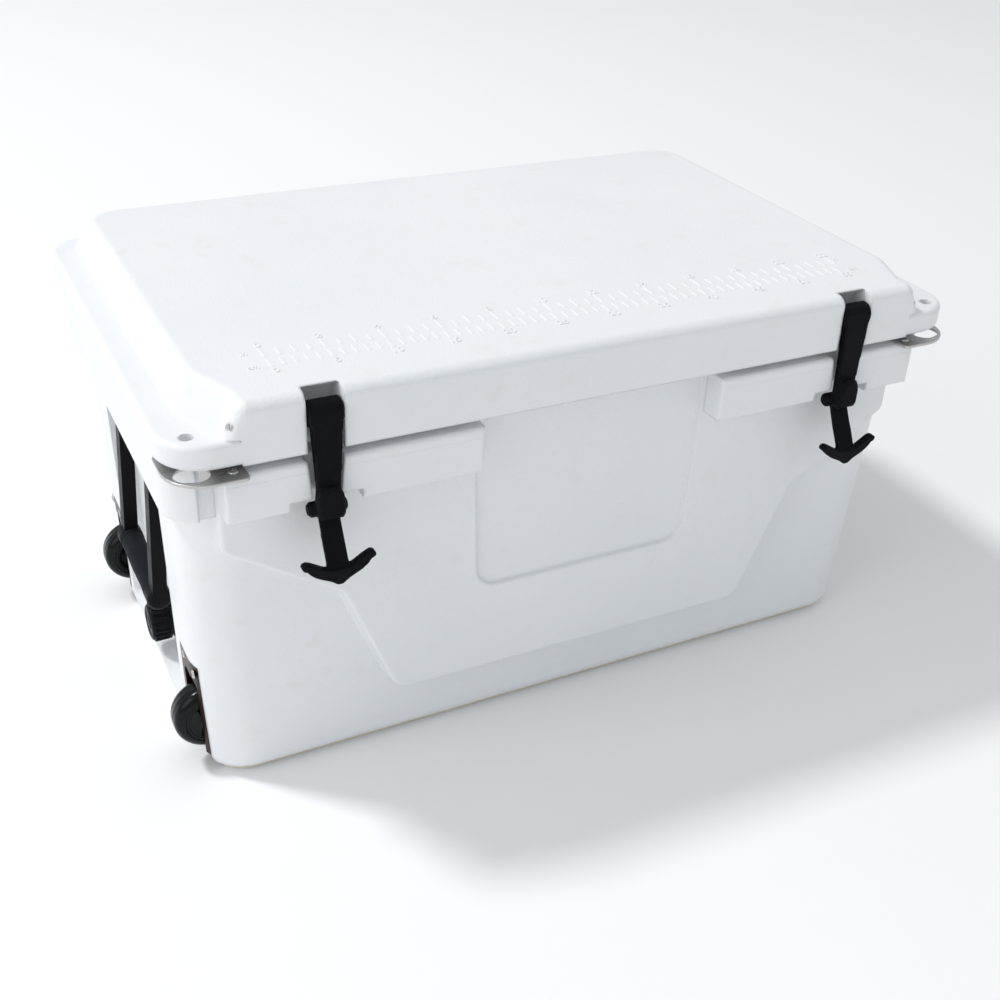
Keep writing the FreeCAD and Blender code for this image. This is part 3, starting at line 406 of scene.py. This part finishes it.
def markTree():
    number, vector = "NodeSocketFloat", "NodeSocketVector"
    tree, given, result = newTree("rulerMarks", [
        ("Start", vector, None), ("Step", number, 0.01), ("Count", "NodeSocketInt", 56),
        ("Every", "NodeSocketInt", 5), ("Short", number, 0.01), ("Middle", number, 0.01),
        ("Long", number, 0.01), ("Width", number, 0.003), ("Wide", number, 0.004),
        ("Rise", number, 0.0006), ("Away", number, 1.0), ("Material", "NodeSocketMaterial", None)])
    step = addNode(tree, "ShaderNodeCombineXYZ")
    wire(tree, given.outputs["Step"], step.inputs["X"])
    line = addNode(tree, "GeometryNodeMeshLine", mode="OFFSET")
    wire(tree, given.outputs["Count"], line.inputs["Count"])
    wire(tree, given.outputs["Start"], line.inputs["Start Location"])
    wire(tree, step.outputs["Vector"], line.inputs["Offset"])
    index = addNode(tree, "GeometryNodeInputIndex")

    def everyNth(divisor):
        left = addNode(tree, "ShaderNodeMath", operation="MODULO")
        wire(tree, index.outputs["Index"], left.inputs[0])
        wire(tree, divisor, left.inputs[1])
        least = addNode(tree, "ShaderNodeMath", operation="LESS_THAN")
        least.inputs[1].default_value = 0.5
        wire(tree, left.outputs["Value"], least.inputs[0])
        return least.outputs["Value"]

    def choose(test, ifNot, ifSo):
        found = addNode(tree, "GeometryNodeSwitch", input_type="FLOAT")
        wire(tree, test, found.inputs["Switch"])
        wire(tree, ifNot, found.inputs["False"])
        wire(tree, ifSo, found.inputs["True"])
        return found.outputs["Output"]

    half = addNode(tree, "ShaderNodeMath", operation="DIVIDE")
    half.inputs[1].default_value = 2.0
    wire(tree, given.outputs["Every"], half.inputs[0])
    whole = addNode(tree, "ShaderNodeMath", operation="FLOOR")
    wire(tree, half.outputs["Value"], whole.inputs[0])
    isLong = everyNth(given.outputs["Every"])
    isMiddle = everyNth(whole.outputs["Value"])
    length = choose(isMiddle, given.outputs["Short"], given.outputs["Middle"])
    length = choose(isLong, length, given.outputs["Long"])
    width = choose(isLong, given.outputs["Width"], given.outputs["Wide"])
    size = addNode(tree, "ShaderNodeCombineXYZ")
    wire(tree, width, size.inputs["X"])
    wire(tree, length, size.inputs["Y"])
    wire(tree, given.outputs["Rise"], size.inputs["Z"])
    # a mark is a low block with drafted sides, standing on its base
    mark = addNode(tree, "GeometryNodeMeshCone", Vertices=4, Radius_Top=0.56, Radius_Bottom=0.7071,
                   Depth=1.0)
    square = addNode(tree, "GeometryNodeTransform")
    square.inputs["Rotation"].default_value = (0, 0, math.pi / 4)
    wire(tree, mark.outputs["Mesh"], square.inputs["Geometry"])
    spots = addNode(tree, "GeometryNodeInstanceOnPoints")
    wire(tree, line.outputs["Mesh"], spots.inputs["Points"])
    wire(tree, square.outputs["Geometry"], spots.inputs["Instance"])
    wire(tree, size.outputs["Vector"], spots.inputs["Scale"])
    reach = addNode(tree, "ShaderNodeMath", operation="MULTIPLY")
    wire(tree, length, reach.inputs[0])
    wire(tree, given.outputs["Away"], reach.inputs[1])
    halfReach = addNode(tree, "ShaderNodeMath", operation="MULTIPLY")
    halfReach.inputs[1].default_value = 0.5
    wire(tree, reach.outputs["Value"], halfReach.inputs[0])
    shift = addNode(tree, "ShaderNodeCombineXYZ")
    wire(tree, halfReach.outputs["Value"], shift.inputs["Y"])
    moved = addNode(tree, "GeometryNodeTranslateInstances")
    moved.inputs["Local Space"].default_value = False
    wire(tree, spots.outputs["Instances"], moved.inputs["Instances"])
    wire(tree, shift.outputs["Vector"], moved.inputs["Translation"])
    real = addNode(tree, "GeometryNodeRealizeInstances")
    wire(tree, moved.outputs["Instances"], real.inputs["Geometry"])
    painted = addNode(tree, "GeometryNodeSetMaterial")
    wire(tree, real.outputs["Geometry"], painted.inputs["Geometry"])
    wire(tree, given.outputs["Material"], painted.inputs["Material"])
    wire(tree, painted.outputs["Geometry"], result.inputs["Geometry"])
    return tree


marks = markTree()
lidTop = boxOf("lid_shell")[1].z
markBase = lidTop - (rulerValues["rise"] + rulerValues["root"]) / 1000
shared = {"Width": rulerValues["width"] / 1000, "Wide": rulerValues["wide"] / 1000,
          "Rise": lidTop - markBase, "Material": whiteMarks}
runTree("rulerCentimetres", marks, dict(
    shared, Start=(rulerValues["start"] / 1000, rulerValues["cmEdge"] / 1000, markBase),
    Step=rulerValues["cmStep"] / 1000, Count=rulerValues["cmCount"], Every=rulerValues["cmEvery"],
    Short=rulerValues["cmShort"] / 1000, Middle=rulerValues["cmShort"] / 1000,
    Long=rulerValues["cmLong"] / 1000, Away=-1.0), "lid", sharp=20.0)
runTree("rulerInches", marks, dict(
    shared, Start=(rulerValues["start"] / 1000, rulerValues["inchEdge"] / 1000, markBase),
    Step=rulerValues["halfInchStep"] / 1000, Count=rulerValues["inchCount"],
    Every=rulerValues["inchEvery"], Short=rulerValues["inchShort"] / 1000,
    Middle=rulerValues["inchMiddle"] / 1000, Long=rulerValues["inchLong"] / 1000, Away=1.0),
    "lid", sharp=20.0)


def figureMesh(words, x, y, height):
    letters = bpy.data.curves.new("figure", "FONT")
    letters.body = words
    letters.size = height / 1000 * rulerValues["letterScale"]
    letters.align_x = "CENTER"
    letters.align_y = "CENTER"
    letters.extrude = rulerValues["letterDepth"] / 1000
    letters.offset = rulerValues["letterSwell"] / 1000
    letters.resolution_u = 3
    holder = bpy.data.objects.new("figure", letters)
    scene.collection.objects.link(holder)
    mesh = bakedModifiers(holder)
    mesh.transform(Matrix.Translation((x / 1000, y / 1000, lidTop - letters.extrude)))
    return mesh


def joined(name, meshes, material, body, sharp=30.0):
    work = bmesh.new()
    for mesh in meshes:
        work.from_mesh(mesh)
    bmesh.ops.remove_doubles(work, verts=work.verts, dist=0.000005)
    whole = bpy.data.meshes.new(name)
    work.to_mesh(whole)
    work.free()
    return putMesh(name, whole, body, material, sharp)


figures = []
cmEvery, inchEvery = rulerValues["figureEvery"]
for number in range(0, rulerValues["cmCount"], cmEvery):
    figures.append(figureMesh(str(number), rulerValues["start"] + number * rulerValues["cmStep"],
                              rulerValues["cmFigures"], rulerValues["figureHeight"]))
for number in range(0, rulerValues["inchCount"] // 2 + 1, inchEvery):
    place = rulerValues["start"] + number * 2 * rulerValues["halfInchStep"]
    figures.append(figureMesh(str(number), place, rulerValues["inchFigures"],
                              rulerValues["figureHeight"]))
for side in (-1, 1):
    end = side * (-rulerValues["start"] + rulerValues["unitPlace"])
    for words, place in (("cm", rulerValues["cmUnit"]), ("in", rulerValues["inchUnit"])):
        figures.append(figureMesh(words, end, place, rulerValues["unitHeight"]))
joined("rulerFigures", figures, whiteMarks, "lid")
print("ruler made")


# faint parting lines on the keepers

keeperValues = {"lineBelow": 9.0, "radius": 0.35, "sink": 0.1, "spans": ((121, 236), (269, 328))}
lineMeshes = []
tubTop = boxOf("tub_liner")[1].z
keeperFace = boxOf("tub_shell")[0].y
for low, high in keeperValues["spans"]:
    for side in (-1, 1):
        size = keeperValues["radius"] / 1000
        profile = [(low / 1000, 0.0), (low / 1000 + size, size), (high / 1000 - size, size),
                   (high / 1000, 0.0)]
        centre = Vector((0, keeperFace + keeperValues["sink"] / 1000,
                         tubTop - keeperValues["lineBelow"] / 1000))
        points = [(side * place, radius) for place, radius in profile]
        lineMeshes.append(spun("partingLine", points, centre, "x", 8))
joined("partingLines", lineMeshes, whiteMarks, "tub")


# latches: one rubber piece each, blended from overlapping solids

latchValues = {
    "barOut": 1.0, "barDrop": 84.0, "tailOut": 24.0, "tailDrop": 50.0, "bossBack": 3.8,
    "tailThick": 3.5, "pullThick": 3.7, "knuckle": 10.4, "knuckleHalf": 14.4, "strap": 4.0,
    "strapTop": 13.0, "waist": 9.2, "bossHalf": 11.3, "bossFront": 15.8, "bar": 6.4,
    "barHalf": 16.4, "tailHalf": 8.8,
    "anchorHalf": 30.8, "tipRadius": 3.1, "tipRise": 14.2, "grain": 0.95, "smooth": 3,
    "underside": ((0, -7.4), (0.08, -7.2), (0.18, -5.0), (0.3, -2.7), (0.45, -0.6), (0.6, 1.5),
                  (0.75, 4.1), (0.88, 7.2), (0.97, 10.8)),
    "topside": ((0, 7.0), (0.3, 7.6), (0.45, 9.5), (0.6, 12.0), (0.75, 14.6), (0.88, 16.6),
                (0.97, 17.3))}


def addPrism(work, points, depth):
    # a closed block from a loop of points and a vector for its depth
    near = [work.verts.new(point) for point in points]
    far = [work.verts.new(point + depth) for point in points]
    work.faces.new(near)
    work.faces.new(list(reversed(far)))
    for index in range(len(points)):
        after = (index + 1) % len(points)
        work.faces.new((near[after], near[index], far[index], far[after]))


def sideLoop(y, z, radius, x, steps=32):
    return [mm(x, y + radius * math.cos(2 * math.pi * step / steps),
               z + radius * math.sin(2 * math.pi * step / steps)) for step in range(steps)]


def latchMesh(name, middle, pivot, values):
    work = bmesh.new()
    pivotY, pivotZ = pivot.y * 1000, pivot.z * 1000
    barY, barZ = pivotY - values["barOut"], pivotZ - values["barDrop"]
    backY = pivotY - values["knuckle"] + 2 * values["strap"]
    for inset, radius in ((0.0, values["knuckle"] - 1.2), (1.2, values["knuckle"])):
        half = values["knuckleHalf"] - inset
        addPrism(work, sideLoop(pivotY, pivotZ, radius, middle - half), mm(2 * half, 0, 0))
    outline = [(values["strapTop"], pivotZ + 4), (values["waist"] + 0.4, barZ + 24),
               (values["waist"], barZ)]
    loop = [mm(middle + x, backY, z) for x, z in outline]
    loop += [mm(middle - x, backY, z) for x, z in reversed(outline)]
    addPrism(work, loop, mm(0, -2 * values["strap"], 0))
    # boss over the bar, an upright block with a rounded head
    half = values["bossHalf"]
    outline = [(half * 0.3, barZ + 24.6), (half * 0.66, barZ + 22), (half * 0.91, barZ + 17),
               (half, barZ + 11), (half, barZ - 1), (half * 0.82, barZ - 4.5)]
    for front, size in ((values["bossFront"] - 2.0, 1.0), (values["bossFront"], 0.84)):
        back, core = barY - values["bossBack"], barZ + 10
        loop = [mm(middle + x * size, back, core + (z - core) * size) for x, z in outline]
        loop += [mm(middle - x * size, back, core + (z - core) * size)
                 for x, z in reversed(outline)]
        addPrism(work, loop, mm(0, values["bossBack"] - front, 0))
    for inset, radius in ((0.0, values["bar"] - 1.8), (1.8, values["bar"])):
        half = values["barHalf"] - inset
        addPrism(work, sideLoop(barY, barZ, radius, middle - half), mm(2 * half, 0, 0))
    # tail, leaning forward to the pull
    tipY, tipZ = barY - values["tailOut"], barZ - values["tailDrop"]
    loop = [mm(middle + values["tailHalf"] * 0.97, barY, barZ),
            mm(middle + values["tailHalf"], (barY + tipY) / 2, (barZ + tipZ) / 2),
            mm(middle + values["tailHalf"] * 1.02, tipY, tipZ + 4),
            mm(middle - values["tailHalf"] * 1.02, tipY, tipZ + 4),
            mm(middle - values["tailHalf"], (barY + tipY) / 2, (barZ + tipZ) / 2),
            mm(middle - values["tailHalf"] * 0.97, barY, barZ)]
    slant = mm(0, values["tailThick"], 1.3)
    addPrism(work, [point + slant for point in loop], slant * -2)
    # pull: two thick flukes that rise to round tips, over a blunt point
    tip, rise = values["tipRadius"], values["tipRise"]
    reach = values["anchorHalf"] - tip
    lower = [(reach * share, z) for share, z in values["underside"]]
    upper = [(reach * share, z) for share, z in values["topside"]]
    bend = arcPoints(reach, rise, tip, -60, 60, 4)
    right = lower + bend + list(reversed(upper))
    back = tipY + values["pullThick"]
    loop = [mm(middle + x, back, tipZ + z) for x, z in right]
    loop += [mm(middle - x, back, tipZ + z) for x, z in list(reversed(right))[1:-1]]
    addPrism(work, loop, mm(0, -2 * values["pullThick"], 0))
    bmesh.ops.recalc_face_normals(work, faces=work.faces)
    mesh = bpy.data.meshes.new(name)
    work.to_mesh(mesh)
    work.free()
    holder = bpy.data.objects.new(name + "Holder", mesh)
    scene.collection.objects.link(holder)
    remesh = holder.modifiers.new("blend", "REMESH")
    remesh.mode = "VOXEL"
    remesh.voxel_size = values["grain"] / 1000
    calm = holder.modifiers.new("calm", "SMOOTH")
    calm.iterations = values["smooth"]
    calm.factor = 0.5
    return bakedModifiers(holder)


for name in ("left", "right"):
    middle = boxOf("latch_" + name)[2]
    pivot = boxOf("latch_pin_" + name)[2]
    mesh = latchMesh("latch" + name.title(), middle.x * 1000, pivot, latchValues)
    piece = putMesh("latch" + name.title(), mesh, "latch_" + name + "_arm", latchRubber, 60.0)
    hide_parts("latch_" + name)
    mergedCopy("latch_pin_" + name, "latchPin" + name.title(), rodSteel, 0.0008)
print("latches made")


# corner plates, handles, brackets and hinges

for name in ("left", "right"):
    side = name.title()
    mergedCopy("corner_plate_" + name, "cornerPlate" + side, plateSteel, 0.0006)
    mergedCopy("handle_bail_" + name, "handleBail" + side, handlePlastic, 0.0022)
    mergedCopy("handle_mount_" + name, "handleMount" + side, handlePlastic, 0.001)
    mergedCopy("handle_rod_" + name, "handleRod" + side, rodSteel, 0.0006)
    mergedCopy("hinge_base_" + name, "hingeBase" + side, plateSteel, 0.0006)
    mergedCopy("hinge_leaf_" + name, "hingeLeaf" + side, plateSteel, 0.0006)
    mergedCopy("hinge_pin_" + name, "hingePin" + side, rodSteel, 0.0005)
for name in ("front", "rear"):
    mergedCopy("wheel_bracket_" + name, "wheelBracket" + name.title(), bracketPlastic, 0.0008)
    mergedCopy("wheel_axle_" + name, "wheelAxle" + name.title(), rodSteel, 0.0006)
mergedCopy("drain_tube", "drainTube", drainPlastic, 0.0008)
mergedCopy("drain_gasket", "drainSeal", sealRubber, 0.0005)

gripValues = {"half": 49.9, "radius": 11.4, "waist": 11.0, "collar": 5.0, "groove": 0.5,
              "bore": 7.6}
for name in ("left", "right"):
    middle = boxOf("handle_grip_" + name)[2]
    half, full, waist = gripValues["half"], gripValues["radius"], gripValues["waist"]
    collar, groove = gripValues["collar"], gripValues["groove"]
    profile = [(-half, gripValues["bore"]), (-half, full - 0.8), (-half + 0.8, full),
               (-half + collar, full),
               (-half + collar + 0.5, full - groove), (-half + collar + 1.4, full - groove),
               (-half + collar + 2.2, waist), (-half + 20, waist - 0.15), (0, waist + 0.35)]
    profile += [(-place, radius) for place, radius in reversed(profile[:-1])]
    mesh = spun("gripSleeve", [(a / 1000, b / 1000) for a, b in profile], middle, "y", 56)
    piece = putMesh("gripSleeve" + name.title(), mesh, "handle_" + name, gripRubber, 40.0)
    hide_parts("handle_grip_" + name)
print("plates, handles and brackets made")


# ribs set round an axis, used on the drain cap

def ribTree():
    number, vector = "NodeSocketFloat", "NodeSocketVector"
    tree, given, result = newTree("ribRing", [
        ("Count", "NodeSocketInt", 20), ("Ring", number, 0.018), ("Size", vector, None),
        ("Centre", vector, None), ("Turn", vector, None),
        ("Material", "NodeSocketMaterial", None)])
    ring = addNode(tree, "GeometryNodeMeshCircle")
    wire(tree, given.outputs["Count"], ring.inputs["Vertices"])
    wire(tree, given.outputs["Ring"], ring.inputs["Radius"])
    place = addNode(tree, "GeometryNodeInputPosition")
    aim = addNode(tree, "FunctionNodeAlignRotationToVector", axis="X")
    wire(tree, place.outputs["Position"], aim.inputs["Vector"])
    rib = addNode(tree, "GeometryNodeMeshCylinder", Vertices=12, Radius=0.5, Depth=1.0)
    spots = addNode(tree, "GeometryNodeInstanceOnPoints")
    wire(tree, ring.outputs["Mesh"], spots.inputs["Points"])
    wire(tree, rib.outputs["Mesh"], spots.inputs["Instance"])
    wire(tree, aim.outputs["Rotation"], spots.inputs["Rotation"])
    wire(tree, given.outputs["Size"], spots.inputs["Scale"])
    real = addNode(tree, "GeometryNodeRealizeInstances")
    wire(tree, spots.outputs["Instances"], real.inputs["Geometry"])
    moved = addNode(tree, "GeometryNodeTransform")
    wire(tree, real.outputs["Geometry"], moved.inputs["Geometry"])
    wire(tree, given.outputs["Centre"], moved.inputs["Translation"])
    wire(tree, given.outputs["Turn"], moved.inputs["Rotation"])
    painted = addNode(tree, "GeometryNodeSetMaterial")
    wire(tree, moved.outputs["Geometry"], painted.inputs["Geometry"])
    wire(tree, given.outputs["Material"], painted.inputs["Material"])
    wire(tree, painted.outputs["Geometry"], result.inputs["Geometry"])
    return tree


wheelValues = {"half": 13.9, "radius": 31.9, "shoulder": 8.8, "bore": 23.05, "hub": 22.9,
               "hubHalf": 13.5, "boss": 9.0, "bossHalf": 14.9, "axle": 5.06, "dish": 0.3}


def tyreProfile(values):
    half, radius, shoulder = values["half"], values["radius"], values["shoulder"]
    side = [(-half + 0.8, values["bore"]), (-half, values["bore"] + 0.5)]
    side += arcPoints(-half + shoulder, radius - shoulder, shoulder, 180, 90, 9)
    side += [(-0.5, radius), (-0.25, radius + 0.08)]
    return side + [(-along, distance) for along, distance in reversed(side)]


def hubProfile(values):
    dish, half = values["dish"], values["hubHalf"]
    side = [(-values["bossHalf"], values["axle"]), (-values["bossHalf"], values["boss"] - 1.2),
            (-values["bossHalf"] + 1.2, values["boss"]), (-half + dish, values["boss"] + 0.6),
            (-half + dish + 0.4, values["boss"] + 2), (-half + dish + 0.4, values["hub"] - 5),
            (-half + dish, values["hub"] - 4.2), (-half + 0.5, values["hub"] - 3.2),
            (-half, values["hub"] - 2.6), (-half, values["hub"] - 0.5),
            (-half + 0.5, values["hub"])]
    return side + [(-along, distance) for along, distance in reversed(side)]


for name in ("front", "rear"):
    centre = boxOf("wheel_tyre_" + name)[2]
    body, title = "wheel_" + name, name.title()
    profile = [(a / 1000, b / 1000) for a, b in tyreProfile(wheelValues)]
    piece = putMesh("wheelTyre" + title, spun("tyre", profile, centre, "y", 96), body, tyreRubber,
                    40.0)
    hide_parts("wheel_tyre_" + name)
    profile = [(a / 1000, b / 1000) for a, b in hubProfile(wheelValues)]
    piece = putMesh("wheelHub" + title, spun("hub", profile, centre, "y", 96), body, hubPlastic,
                    35.0)
    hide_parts("wheel_hub_" + name)
print("wheels made")

drainValues = {
    "ribCount": 20, "ring": 18.7, "ribSize": (2.4, 2.8, 13.8), "ribMiddle": 9.6, "length": 19.0,
    "stem": 23.0, "stemRadius": 8.5,
    "face": ((0.0, 0.0), (0.0, 6.0), (0.9, 7.2), (0.9, 12.8), (0.0, 14.0), (0.15, 16.2),
             (1.0, 17.6), (2.4, 18.4)),
    "skirt": ((2.2, 18.7), (2.0, 19.6), (0.4, 19.8), (0.0, 19.2))}
low, high, middle = boxOf("drain_plug")
face, length, stem = low.x * 1000, drainValues["length"], drainValues["stemRadius"]
end = length + drainValues["stem"]
profile = list(drainValues["face"])
profile += [(length - back, radius) for back, radius in drainValues["skirt"]]
profile += [(length, stem), (end, stem), (end, 0.0)]
mesh = spun("drainCap", [((face + a) / 1000, b / 1000) for a, b in profile],
            Vector((0, middle.y, middle.z)), "x", 80)
piece = putMesh("drainCap", mesh, "drain_cap", drainPlastic, 30.0)
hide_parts("drain_plug")
runTree("drainCapRibs", ribTree(), {
    "Count": drainValues["ribCount"], "Ring": drainValues["ring"] / 1000,
    "Size": tuple(mm(*drainValues["ribSize"])),
    "Centre": ((face + drainValues["ribMiddle"]) / 1000, middle.y, middle.z),
    "Turn": (0.0, math.pi / 2, 0.0),
    "Material": drainPlastic}, "drain_cap")
print("drain made")


# screws: low domed heads with a six-sided socket

screwValues = {"radius": 4.4, "rise": 1.9, "socket": 1.9, "socketDepth": 1.5, "head": 2.0}


def screwTree():
    number = "NodeSocketFloat"
    tree, given, result = newTree("screwHeads", [
        ("Geometry", "NodeSocketGeometry", None), ("Radius", number, 0.0044),
        ("Rise", number, 0.0019), ("Socket", number, 0.0019), ("Socket Depth", number, 0.0015),
        ("Material", "NodeSocketMaterial", None)])
    dome = addNode(tree, "GeometryNodeMeshUVSphere", Segments=32, Rings=16, Radius=1.0)
    size = addNode(tree, "ShaderNodeCombineXYZ")
    wire(tree, given.outputs["Radius"], size.inputs["X"])
    wire(tree, given.outputs["Radius"], size.inputs["Y"])
    wire(tree, given.outputs["Rise"], size.inputs["Z"])
    low = addNode(tree, "GeometryNodeTransform")
    wire(tree, dome.outputs["Mesh"], low.inputs["Geometry"])
    wire(tree, size.outputs["Vector"], low.inputs["Scale"])
    twice = addNode(tree, "ShaderNodeMath", operation="MULTIPLY")
    twice.inputs[1].default_value = 2.0
    wire(tree, given.outputs["Socket Depth"], twice.inputs[0])
    hexagon = addNode(tree, "GeometryNodeMeshCylinder", Vertices=6)
    wire(tree, given.outputs["Socket"], hexagon.inputs["Radius"])
    wire(tree, twice.outputs["Value"], hexagon.inputs["Depth"])
    lift = addNode(tree, "ShaderNodeCombineXYZ")
    wire(tree, given.outputs["Rise"], lift.inputs["Z"])
    socket = addNode(tree, "GeometryNodeTransform")
    wire(tree, hexagon.outputs["Mesh"], socket.inputs["Geometry"])
    wire(tree, lift.outputs["Vector"], socket.inputs["Translation"])
    under = addNode(tree, "GeometryNodeMeshCube")
    under.inputs["Size"].default_value = (0.02, 0.02, 0.01)
    lower = addNode(tree, "GeometryNodeTransform")
    lower.inputs["Translation"].default_value = (0.0, 0.0, -0.0051)
    wire(tree, under.outputs["Mesh"], lower.inputs["Geometry"])
    cut = addNode(tree, "GeometryNodeMeshBoolean", operation="DIFFERENCE")
    wire(tree, low.outputs["Geometry"], cut.inputs["Mesh 1"])
    wire(tree, socket.outputs["Geometry"], cut.inputs["Mesh 2"])
    wire(tree, lower.outputs["Geometry"], cut.inputs["Mesh 2"])
    way = addNode(tree, "GeometryNodeInputNamedAttribute", data_type="FLOAT_VECTOR")
    way.inputs["Name"].default_value = "aim"
    aim = addNode(tree, "FunctionNodeAlignRotationToVector", axis="Z")
    wire(tree, way.outputs["Attribute"], aim.inputs["Vector"])
    spots = addNode(tree, "GeometryNodeInstanceOnPoints")
    wire(tree, given.outputs["Geometry"], spots.inputs["Points"])
    wire(tree, cut.outputs["Mesh"], spots.inputs["Instance"])
    wire(tree, aim.outputs["Rotation"], spots.inputs["Rotation"])
    real = addNode(tree, "GeometryNodeRealizeInstances")
    wire(tree, spots.outputs["Instances"], real.inputs["Geometry"])
    painted = addNode(tree, "GeometryNodeSetMaterial")
    wire(tree, real.outputs["Geometry"], painted.inputs["Geometry"])
    wire(tree, given.outputs["Material"], painted.inputs["Material"])
    wire(tree, painted.outputs["Geometry"], result.inputs["Geometry"])
    return tree


def islandBoxes(node):
    # the boxes of the separate screws in one CAD node
    work = bmesh.new()
    work.from_mesh(nodes[node].data)
    bmesh.ops.remove_doubles(work, verts=work.verts, dist=0.00002)
    seen, boxes = set(), []
    for vertex in work.verts:
        if vertex in seen:
            continue
        group, waiting = [], [vertex]
        seen.add(vertex)
        while waiting:
            here = waiting.pop()
            group.append(here.co.copy())
            for edge in here.link_edges:
                other = edge.other_vert(here)
                if other not in seen:
                    seen.add(other)
                    waiting.append(other)
        low = Vector([min(point[axis] for point in group) for axis in range(3)])
        high = Vector([max(point[axis] for point in group) for axis in range(3)])
        boxes.append((low, high))
    work.free()
    return boxes


screwHeads = screwTree()
for node, body, way in (("plate_screws", "tub", (0, 0, 1)), ("handle_screws", "tub", "outX"),
                        ("bracket_screws", "tub", (-1, 0, 0)),
                        ("hinge_screws_body", "tub", (0, 1, 0)),
                        ("hinge_screws_lid", "lid", (0, 1, 0))):
    points, ways = [], []
    for low, high in islandBoxes(node):
        aim = Vector((1 if low.x > 0 else -1, 0, 0)) if way == "outX" else Vector(way)
        centre = (low + high) / 2
        tip = Vector([high[i] if aim[i] > 0 else low[i] if aim[i] < 0 else centre[i]
                      for i in range(3)])
        points.append(tip - aim * screwValues["head"] / 1000)
        ways.append(aim)
    source = meshOf(node + "Points", points, [])
    attribute = source.attributes.new("aim", "FLOAT_VECTOR", "POINT")
    attribute.data.foreach_set("vector", [value for aim in ways for value in aim])
    words = node.split("_")
    name = words[0] + "".join(word.title() for word in words[1:])
    piece = runTree(name, screwHeads, {
        "Radius": screwValues["radius"] / 1000, "Rise": screwValues["rise"] / 1000,
        "Socket": screwValues["socket"] / 1000, "Socket Depth": screwValues["socketDepth"] / 1000,
        "Material": screwSteel}, body, source, 30.0)
    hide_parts(node)
print("screws made")


# floor, light and camera

lightValues = {"keyPlace": (-3.8, 2.6, 6.8), "keySize": 1.1, "keyPower": 305.0,
               "sidePlace": (-3.0, -0.9, 1.9), "sideSize": 2.4, "sidePower": 22.0,
               "skyStrength": 0.63, "skyColour": (0.93, 0.97, 1.0),
               "floorColour": (0.93, 0.93, 0.93), "floorRoughness": 0.85}


def addArea(name, place, size, power):
    light = bpy.data.lights.new(name, "AREA")
    light.shape = "DISK"
    light.size = size
    light.energy = power
    lamp = bpy.data.objects.new(name, light)
    lamp.location = place
    lamp.rotation_euler = (Vector((0, 0, 0.2)) - Vector(place)).to_track_quat("-Z", "Y").to_euler()
    scene.collection.objects.link(lamp)


floor = bpy.data.objects.new("floor", meshOf("floor", [(-30, -30, 0), (30, -30, 0), (30, 30, 0),
                                                       (-30, 30, 0)], [(0, 1, 2, 3)]))
scene.collection.objects.link(floor)
paleFloor, floorTree, floorShader, floorPlace = newFinish("paleFloor")
floorTone = mixColours(floorTree, noiseAt(floorTree, floorPlace, 0.6), lightValues["floorColour"],
                       tuple(value * 0.995 for value in lightValues["floorColour"]))
floorTree.links.new(floorTone, floorShader.inputs["Base Color"])
floorShader.inputs["Roughness"].default_value = lightValues["floorRoughness"]
floor.data.materials.append(paleFloor)

addArea("keyLight", lightValues["keyPlace"], lightValues["keySize"], lightValues["keyPower"])
addArea("sideLight", lightValues["sidePlace"], lightValues["sideSize"], lightValues["sidePower"])
world = bpy.data.worlds.new("studio")
world.use_nodes = True
world.node_tree.nodes["Background"].inputs["Color"].default_value = (
    *lightValues["skyColour"], 1.0)
world.node_tree.nodes["Background"].inputs["Strength"].default_value = lightValues["skyStrength"]
scene.world = world
scene.view_settings.view_transform = "Standard"

cameraValues = {"place": mm(-535.2, -1071.0, 839.3), "heading": 27.403, "down": 31.049,
                "roll": 2.423, "lens": 47.13, "shiftX": 0.0002, "shiftY": -0.0038}


def addCamera(values):
    heading, down, roll = (math.radians(values[key]) for key in ("heading", "down", "roll"))
    forward = Vector((math.sin(heading) * math.cos(down), math.cos(heading) * math.cos(down),
                      -math.sin(down)))
    level = Vector((math.cos(heading), -math.sin(heading), 0))
    upward = level.cross(forward)
    right = level * math.cos(roll) + upward * math.sin(roll)
    top = upward * math.cos(roll) - level * math.sin(roll)
    lens = bpy.data.cameras.new("camera")
    lens.lens = values["lens"]
    lens.sensor_width = 36.0
    lens.shift_x = values["shiftX"]
    lens.shift_y = values["shiftY"]
    camera = bpy.data.objects.new("camera", lens)
    camera.matrix_world = Matrix.Translation(values["place"]) @ Matrix(
        (right, top, -forward)).transposed().to_4x4()
    scene.collection.objects.link(camera)
    scene.camera = camera


addCamera(cameraValues)
print("floor, light and camera made")
